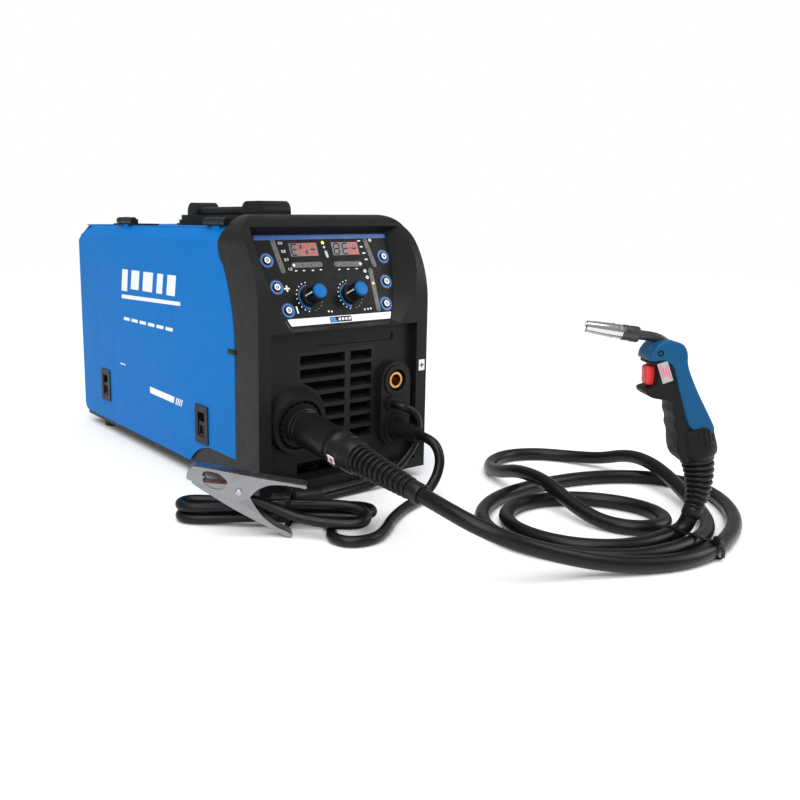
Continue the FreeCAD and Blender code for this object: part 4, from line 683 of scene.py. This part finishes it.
def relief(length, wide, narrow, rings, collar, core=0.78):  # tapered sleeve with round ribs, ended by a collar
    steps = [(wide * core, 0)]
    pitch = (length - collar) / rings
    for i in range(rings):
        radius = wide + (narrow - wide) * i / (rings - 1)
        low = i * pitch
        steps += [(radius * core, low + 0.12 * pitch), (radius * 0.97, low + 0.22 * pitch), (radius, low + 0.36 * pitch),
                  (radius, low + 0.56 * pitch), (radius * 0.97, low + 0.70 * pitch), (radius * core, low + 0.80 * pitch)]
    end = narrow * 0.93
    steps += [(end, length - collar + 0.4), (end, length - 1.2), (end * 0.94, length - 0.3), (end * 0.9, length),
              (narrow * 0.6, length)]
    return turned(steps, 40)


sleeve = relief(89, 14.6, 10.2, 11, 14)
settle(sleeve, "cableRelief", "rubberBlack", "case", bossFrame @ Matrix.Translation((0, 0, 0.101)))
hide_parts("cable_relief")
housing = turned((
    (17.9, -13.5), (17.9, 3.2), (20.0, 3.4), (20.0, 7.2), (18.9, 7.8), (18.7, 12), (17.7, 12.6), (17.7, 14.4), (18.6, 15),
    (18.3, 34), (17.9, 62), (17.9, 66), (18.6, 67), (18.6, 74), (17.9, 75), (17.6, 86.4), (16.9, 87.0), (16.9, 88.4),
    (17.3, 89), (16.6, 97), (15.2, 100.6), (14.6, 101)), 64)
settle(housing, "connectorBody", "rubberBlack", "case", bossFrame)
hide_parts("connector_housing")
sight = Matrix.Rotation(math.radians(200), 4, "Z") @ Matrix.Translation((0.0177, 0, 0.078)) @ Matrix.Rotation(
    math.radians(90), 4, "Y")
label = slab((0.011, 0.008, 0.0012), 0.0003, 1)
settle(label, "connectorLabel", "printWhite", "case", bossFrame @ sight)
dot = turned(((2.6, 0.4), (2.6, 0.9), (2.2, 1.0)), 20)
settle(dot, "connectorDot", "labelPink", "case", bossFrame @ sight @ Matrix.Translation((-0.0022, 0, 0)))
collar = turned(((26.9, -12), (26.9, -2.5), (26.2, -1.6), (25.2, -1.2), (25.2, -8)), 64)
settle(collar, "socketCollar", "rubberBlack", "case", bossFrame)
print("connector and relief made")


# louvres behind the front grille, the plus label and the door's print
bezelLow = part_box("front_bezel")[0]
grilleLow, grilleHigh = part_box("front_grille")
louvre = {"rows": 7, "depth": 0.017, "thickness": 0.0012, "lean": 40.0}
blades = []
for row in range(louvre["rows"] + 1):
    height = grilleLow.z + (grilleHigh.z - grilleLow.z) * row / louvre["rows"]
    blade = slab((grilleHigh.x - grilleLow.x - 0.002, louvre["depth"], louvre["thickness"]), 0.0003, 1)
    blade.matrix_world = (Matrix.Translation(((grilleLow.x + grilleHigh.x) / 2, grilleHigh.y + 0.0062, height + 0.004))
                          @ Matrix.Rotation(math.radians(louvre["lean"]), 4, "X"))
    blades.append(blade)
settle(joined(blades), "grilleLouvres", "blackGrille", "case", None)
# a dark sheet behind the lower slot that stands in for the shade inside it: painted shade
shade = slab((0.076, 0.0012, 0.0125), 0.0003, 1, (bezelLow.x + 0.0925, caseFront + 0.034, 0.0325))
settle(shade, "lowerSlotShade", "blackGrille", "case", None)
plusLabel = {"x": 0.105, "z": 0.131, "size": (0.0085, 0.0125)}
plusFrame = frameAt((caseMiddle + plusLabel["x"], caseFront, plusLabel["z"]), (1, 0, 0), (0, -1, 0))
w, h = plusLabel["size"]
settle(slab((w, h, 0.0003), 0.0001, 1, (0, 0, 0.00012)), "plusLabel", "printWhite", "case", plusFrame)
cross = joined([slab((0.0055, 0.0013, 0.0002), 0.00005, 1, (0, 0, 0.00032)),
                slab((0.0013, 0.0055, 0.0002), 0.00005, 1, (0, 0, 0.00034))])
settle(cross, "plusSign", "printBlack", "case", plusFrame)

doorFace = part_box("latch_slider_front")[0].x + 0.0006
doorFrame = frameAt((doorFace, 0, 0), (0, -1, 0), (-1, 0, 0))  # across is forwards along the door, up is up


def onDoor(points):
    return laid(points, 0.12)


doorPrint = []
for start, end, low in ((-250, -232, 202), (-220, -196, 206), (-184, -156, 206), (-144, -128, 206), (-116, -94, 206)):
    doorPrint.append(onDoor([(start, low), (end, low), (end + 5, 230), (start + 5, 230)]))  # slanted blocks
doorPrint.append(onDoor([(-250, 192), (-80, 196), (-80, 200.5), (-250, 197)]))
for i in range(6):  # thin line of dashes under the mark
    doorPrint.append(onDoor([(-246 + 25 * i, 164), (-227 + 25 * i, 164), (-226 + 25 * i, 168), (-245 + 25 * i, 168)]))
doorPrint.append(onDoor([(-170, 79.5), (-104, 78), (-101, 86), (-170, 87.5)]))
for i in range(4):
    doorPrint.append(onDoor([(-99 + 4.6 * i, 77.6), (-96.6 + 4.6 * i, 77.6), (-93.4 + 4.6 * i, 86), (-95.8 + 4.6 * i, 86)]))
doorPrint.append(onDoor([(-262, 103.6), (-246, 103.2), (-246, 104.8), (-262, 105.2)]))
settle(joined(doorPrint), "doorPrint", "printWhite", "door", doorFrame)
catch = slab((0.004, 0.016, 0.0052), 0.0008, 2, (doorFace + 0.0005, -0.0375, 0.158))
settle(catch, "doorCatch", "blackCase", "door", None)
hingePin = jointOf["door_hinge"]["pos_m"]
hingeSleeve = {"radius": 4.9, "length": 14.5, "spots": (("Front", 0.103), ("Rear", 0.344))}
for word, back in hingeSleeve["spots"]:
    sleeve = turned(((hingeSleeve["radius"], 0), (hingeSleeve["radius"], hingeSleeve["length"] - 0.3),
                     (hingeSleeve["radius"] - 0.3, hingeSleeve["length"])), 32)
    place = Matrix.Translation((hingePin[0], caseFront + back + hingeSleeve["length"] / 2000, hingePin[2]))
    place = place @ Matrix.Rotation(math.radians(90), 4, "X")
    settle(sleeve, "hingeSleeve" + word, "blackCase", "door", place)
print("panels detailed")

# welding gun, in its own upright plane: X to its right, Y up, Z towards the front
gunPivot = Vector(jointOf["trigger_squeeze"]["pos_m"])
gunSide = -Vector(jointOf["trigger_squeeze"]["axis"])
gunRight = Vector((gunSide.y, -gunSide.x, 0))
triggerPivot = {"left": 0.0445, "up": 0.1615}  # where the trigger's pin sits in that plane
gunOrigin = gunPivot + gunRight * triggerPivot["left"] - Vector((0, 0, triggerPivot["up"]))
gunFrame = frameAt(gunOrigin, gunRight, -gunSide)


def rounded(points, times=2):  # cuts the corners of a closed outline
    for _ in range(times):
        cut = []
        for (x0, y0), (x1, y1) in zip(points, points[1:] + points[:1]):
            cut += [(0.78 * x0 + 0.22 * x1, 0.78 * y0 + 0.22 * y1), (0.22 * x0 + 0.78 * x1, 0.22 * y0 + 0.78 * y1)]
        points = cut
    return points


def profile(points, half, bevel=0.0, segments=3, times=2):  # outline given thickness both ways from its plane
    piece = outline(inMetres(rounded(points, times) if times else points), 2 * half / 1000)
    piece.location.z = -half / 1000
    applyPlace(piece)
    return soften(piece, bevel / 1000, segments, 50) if bevel else piece


def carve(piece, tools):
    for tool in tools:
        pick(piece)
        cutter = piece.modifiers.new("cut", "BOOLEAN")
        cutter.object = tool
        cutter.operation = "DIFFERENCE"
        cutter.solver = "EXACT"
        bpy.ops.object.modifier_apply(modifier=cutter.name)
        bpy.data.objects.remove(tool)
    return piece


def alongGun(start, end):  # frame with Z from start to end in the gun's plane
    a, b = (gunFrame @ Vector((x, y, 0)) for x, y in inMetres([start, end]))
    return frameAt(a, gunSide, b - a)


shell = profile([(-59, 171), (-58.5, 179), (-53, 187), (-46, 190), (-38, 190), (-29.5, 187.5), (-25.5, 180), (-25, 168),
                 (-15, 146), (-5, 128), (5.5, 108.5), (-8, 106), (-20, 112), (-28, 136), (-34, 156), (-37.5, 168),
                 (-46, 173.5)], 15, 4.5, 5)
settle(shell, "gunShell", "gunBlue", "case", gunFrame, 50)
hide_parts("torch_shell")
grip = profile([(-57, 172), (-44, 174.5), (-36, 171), (-30, 156), (-24, 136), (-16, 112), (-8, 106), (-11, 98), (-15, 84),
                (-20, 79), (-26, 86), (-28.6, 97), (-29, 106), (-32, 113), (-31.4, 119), (-34.4, 126), (-34, 132),
                (-39, 137), (-54, 139), (-59, 143), (-58.6, 147), (-51.5, 148.5), (-50.5, 158), (-51, 168), (-56.5, 168.5)],
               13.6, 3.5, 4)
settle(grip, "gunGrip", "gripBlack", "case", gunFrame, 50)
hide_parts("torch_grip")
trigger = profile([(-48, 166.8), (-56, 167.4), (-58.4, 165), (-57.6, 158), (-57.6, 151), (-55, 149.3), (-48, 149.8)],
                  5.8, 1.4, 4)
settle(trigger, "gunTrigger", "triggerRed", "trigger", gunFrame, 50)
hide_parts("torch_trigger")
labelPlace = gunFrame @ Matrix.Translation((-0.0445, 0.1625, -0.0012)) @ Matrix.Rotation(math.radians(20), 4, "Z")
label = slab((0.0095, 0.0185, 0.0008), 0.0002, 1, (0, 0, 0.0150))
settle(label, "gunLabel", "printSilver", "case", labelPlace)
bars = [slab((0.0010, 0.012 - 0.002 * (i % 3), 0.0004), 0.0001, 1, (-0.0030 + 0.0020 * i, 0.002 - 0.001 * i, 0.0153))
        for i in range(4)]
settle(joined(bars), "gunLabelBars", "labelPink", "case", labelPlace)
for face, turn in (("Near", 0), ("Far", 180)):
    screw = turned(((3.0, 13.8), (3.0, 14.9), (2.6, 15.3), (1.4, 15.3), (1.3, 14.2)), 24)
    place = gunFrame @ Matrix.Translation((-0.050, 0.1795, 0)) @ Matrix.Rotation(math.radians(turn), 4, "Y")
    settle(screw, "gunScrew" + face, "gripBlack", "case", place)

nutPlace = alongGun((-12.5, 112), (-4.5, 82))
nutBody = turned(((15.2, 0), (17.0, 0.6), (17.6, 3), (17.6, 15), (18.6, 16.5), (18.6, 24), (17.8, 27), (15.0, 30.5),
                  (12.8, 31), (12.4, 28)), 64)
ribs = ribsRound(22, (0.0014, 0.0024, 0.0125), 0.0004, (0.0176, 0, 0.0088))
settle(joined([nutBody] + ribs), "gunRingNut", "gripBlack", "case", nutPlace)

reliefBend = {"start": (-4.8, 83.5), "middle": (3.8, 55), "end": (-6.0, 26.0), "length": 58.5, "wide": 14.6, "narrow": 9.2,
              "rings": 9, "collar": 9, "core": 0.84}
sleeve = relief(*(reliefBend[key] for key in ("length", "wide", "narrow", "rings", "collar", "core")))
a, b, c = (Vector((*reliefBend[key], 0)) / 1000 for key in ("start", "middle", "end"))
for vertex in sleeve.data.vertices:  # bent to the curve of the cable where it leaves the gun
    t = vertex.co.z * 1000 / reliefBend["length"]
    spot = a * (1 - t) ** 2 + b * 2 * t * (1 - t) + c * t * t
    way = ((b - a) * (1 - t) + (c - b) * t).normalized()
    beside = Vector((way.y, -way.x, 0))
    vertex.co = spot + beside * vertex.co.x + Vector((0, 0, 1)) * vertex.co.y
settle(sleeve, "gunRelief", "rubberBlack", "case", gunFrame)
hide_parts("torch_relief")

neckPlace = alongGun((-60, 193.2), (-112, 201.7))
collar = turned(((4.2, 5.0), (6.6, 5.4), (7.2, 6.2), (7.2, 12.5), (6.7, 13.2), (6.7, 14.4),
                (7.0, 15.0), (7.0, 19.6), (6.4, 20.6), (5.6, 20.8)), 48)
tubePoints = [(-66.5, 194.2), (-58, 193.2), (-49, 191.6), (-41, 187.5), (-34, 180.5)]
pick(cordCurve("gooseneck", [(x, y, 0) for x, y in inMetres(tubePoints)], 0.0088, "gunNeck"))
bpy.ops.object.convert(target="MESH")
tube = bpy.context.object
for part, place in ((collar, neckPlace), (tube, gunFrame)):
    part.matrix_world = place @ part.matrix_world
    applyPlace(part)
neck = settle(joined([collar, tube]), "gunNeck", "gunNeck", "case", None)
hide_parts("torch_neck")
nozzle = turned((
    (5.0, 20.0), (6.3, 20.6), (6.3, 22.4), (6.7, 22.8), (6.7, 24.4), (6.3, 24.8), (6.3, 27.6), (6.75, 28.0), (6.75, 29.6),
    (6.4, 30.0), (6.3, 34), (5.9, 42), (5.3, 50), (5.1, 52.4), (4.6, 52.7), (4.3, 52.2), (4.1, 46), (0.3, 45.5)), 48)
settle(nozzle, "gunNozzle", "gunChrome", "case", neckPlace)
tip = turned(((3.0, 44), (3.0, 46.8), (2.0, 47.4), (1.9, 50.4), (1.4, 51), (0.6, 51), (0.5, 49)), 24)
settle(tip, "gunContactTip", "copper", "case", neckPlace)
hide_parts("torch_nozzle")
print("gun made")

# earth clamp: pressed channels, copper contact, rivet and bolt
clampPivot = Vector(jointOf["clamp_open"]["pos_m"])
clampFrame = frameAt(clampPivot, gunRight, -gunSide)
clamp = {"wall": 1.4, "upper": 9.0, "lower": 7.2}


def channel(points, half, shift, windows=()):
    body = profile(points, half, 0.5, 2)
    hollow = profile([(x + shift[0], y + shift[1]) for x, y in points], half - clamp["wall"])
    return carve(body, [hollow] + [profile(window, half + 5, 0, 1, 1) for window in windows])


upperPoints = [(-45.5, 25), (-30, 23), (0, 17), (30, 11.2), (56, 7), (63, 5.6), (63, 2.6), (54, 4.4), (40, 6.6), (27, 6.5),
               (16, 1.5), (9, -7), (-2, -10.5), (-14, -5), (-30, 5), (-44, 10.5), (-49.5, 13)]
window = [(-34, 19.6), (-27, 20.4), (-16, 17), (-9.6, 9), (-15, 2.2), (-24, 2.6), (-33, 8.6)]
upper = channel(upperPoints, clamp["upper"], (0.2, -clamp["wall"] - 0.4), [window])
lip = profile([(58.5, 6.8), (62.8, 5.9), (63.2, 2.9), (60.2, 2.2), (58.2, 4.0)], 8.6, 0.8, 3)
settle(joined([upper, lip]), "clampUpper", "clampSteel", "clamp_top", clampFrame)
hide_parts("clamp_lever")
lowerPoints = [(-45, 9), (-38, 3.6), (-17.7, -9.4), (-4.2, -18), (13.6, -28), (33.7, -38), (44.8, -45.3), (49, -44.6),
               (48, -40.4), (34, -34.4), (22, -24.6), (14, -13.4), (9.4, -4), (6, 5), (-8, 6.5), (-28, 8), (-40, 11)]
lower = channel(lowerPoints, clamp["lower"], (0.8, clamp["wall"] + 0.4))
settle(lower, "clampLower", "clampSteel", "case", clampFrame)
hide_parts("clamp_body")
strap = profile([(-36, 6.2), (-24, 0.6), (-14, -0.6), (-7.6, 4), (-8.6, 11.5), (-17, 19), (-18.6, 17.4), (-11, 10.4),
                 (-10.4, 5.2), (-15, 1.6), (-24, 2.8), (-35, 8.2)], 7.0, 0.3, 2)
settle(strap, "clampContact", "copper", "case", clampFrame)
for face, turn in (("Near", 0), ("Far", 180)):
    head = turned(((3.3, 8.8), (3.3, 9.6), (2.8, 10.4), (1.6, 10.8), (1.4, 10.2)), 28)
    settle(head, "clampRivet" + face, "zincSteel", "case", clampFrame @ Matrix.Rotation(math.radians(turn), 4, "Y"))
bolt = turned(((2.0, -6), (2.0, 0), (4.0, 0.2), (4.2, 0.8), (4.2, 3.4), (3.8, 4.0),
              (1.8, 4.0), (1.8, 6.4), (1.4, 7.0)), 6)
boltPlace = clampFrame @ Matrix.Translation((-0.0365, 0.0105, 0.001)) @ Matrix.Rotation(math.radians(-90), 4, "X")
settle(bolt, "clampBolt", "zincSteel", "case", boltPlace, 20)
print("clamp made")


# cable ties
def strapLoop(points, width, thickness):  # closed strap that follows an outline
    piece = pulledUp(flatShape(inMetres(rounded(points)), "NOTHING", -width / 2000), width / 1000)
    wall = piece.modifiers.new("wall", "SOLIDIFY")
    wall.thickness = thickness / 1000
    wall.offset = -1
    bpy.ops.object.modifier_apply(modifier=wall.name)
    return piece


hankLeft, hankRight = fromCase(*hank["left"], 0), fromCase(*hank["right"], 0)
hankMiddle = hankLeft + (hankRight - hankLeft) * 0.575
hankTie = strapLoop([(-13, 0.3), (13, 0.3), (13.6, 12), (12.6, 31.5), (3, 32.6), (-12.6, 32), (-13.6, 12)], 4.6, 1.1)
lock = slab((0.0072, 0.0052, 0.0056), 0.0006, 2, (0.004, 0.0335, 0))
tail = slab((0.0011, 0.013, 0.0042), 0.0003, 1, (0.0052, 0.038, 0))
hankTurned = frameAt(hankMiddle, Vector((0, 0, 1)).cross(hankRight - hankLeft), hankRight - hankLeft)
settle(joined([hankTie, lock, tail]), "hankTie", "gripBlack", "case", hankTurned)
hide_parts("cable_ties")
loopPlace = Matrix.Translation((caseMiddle + 0.152, 0, 0)) @ Matrix(((0, 0, 1, 0), (1, 0, 0, 0), (0, 1, 0, 0), (0, 0, 0, 1)))
loopTie = strapLoop([(-430.6, 1.2), (-431.2, 9), (-428, 16), (-421, 17.6), (-411, 15.5), (-402, 17.4), (-391, 15.5),
                     (-380, 19), (-371, 15), (-369.6, 8), (-372, 1.2), (-400, 0.6)], 4.4, 1.1)
lock = slab((0.0066, 0.0048, 0.0054), 0.0006, 2, (-0.4245, 0.0190, 0))
settle(joined([loopTie, lock]), "loopTie", "gripBlack", "case", loopPlace)
print("ties made")


# floor, lights and world
studio = {"floor": 12.0, "floorColour": (0.99, 0.99, 0.99), "seen": 1.0, "fill": 0.42, "sun": 2.2, "sunSpread": 60}
bpy.ops.object.select_all(action="DESELECT")
bpy.ops.mesh.primitive_plane_add(size=studio["floor"], location=(0, 0, 0))
floor = bpy.context.object
floor.name = "floor"
floorFinish = bpy.data.materials.new("floorFinish")
floorFinish.use_nodes = True
floorShader = floorFinish.node_tree.nodes["Principled BSDF"]
floorShader.inputs["Base Color"].default_value = (*studio["floorColour"], 1)
floorShader.inputs["Roughness"].default_value = 0.6
floor.data.materials.append(floorFinish)
lamps = [
    {"place": (-1.6, -1.5, 1.5), "aim": (0, 0, 0.12), "power": 30, "size": 1.6},
    {"place": (1.7, -1.3, 1.1), "aim": (0.05, -0.1, 0.12), "power": 16, "size": 1.2},
]
bpy.ops.object.light_add(type="SUN", location=(0, 0, 3), rotation=(math.radians(12), math.radians(-14), 0))
bpy.context.object.data.energy = studio["sun"]
bpy.context.object.data.angle = math.radians(studio["sunSpread"])
for lamp in lamps:
    aim = (Vector(lamp["aim"]) - Vector(lamp["place"])).to_track_quat("-Z", "Y").to_euler()
    bpy.ops.object.light_add(type="AREA", location=lamp["place"], rotation=aim)
    bpy.context.object.data.energy = lamp["power"]
    bpy.context.object.data.size = lamp["size"]
world = bpy.data.worlds.new("studio")
bpy.context.scene.world = world
world.use_nodes = True
backdrop = world.node_tree.nodes["Background"]
backdrop.inputs["Color"].default_value = (1, 1, 1, 1)
rays = world.node_tree.nodes.new("ShaderNodeLightPath")
level = world.node_tree.nodes.new("ShaderNodeMapRange")
level.inputs["To Min"].default_value = studio["fill"]
level.inputs["To Max"].default_value = studio["seen"]
world.node_tree.links.new(rays.outputs["Is Camera Ray"], level.inputs["Value"])
world.node_tree.links.new(level.outputs["Result"], backdrop.inputs["Strength"])
bpy.context.scene.view_settings.view_transform = "Standard"
print("studio set")
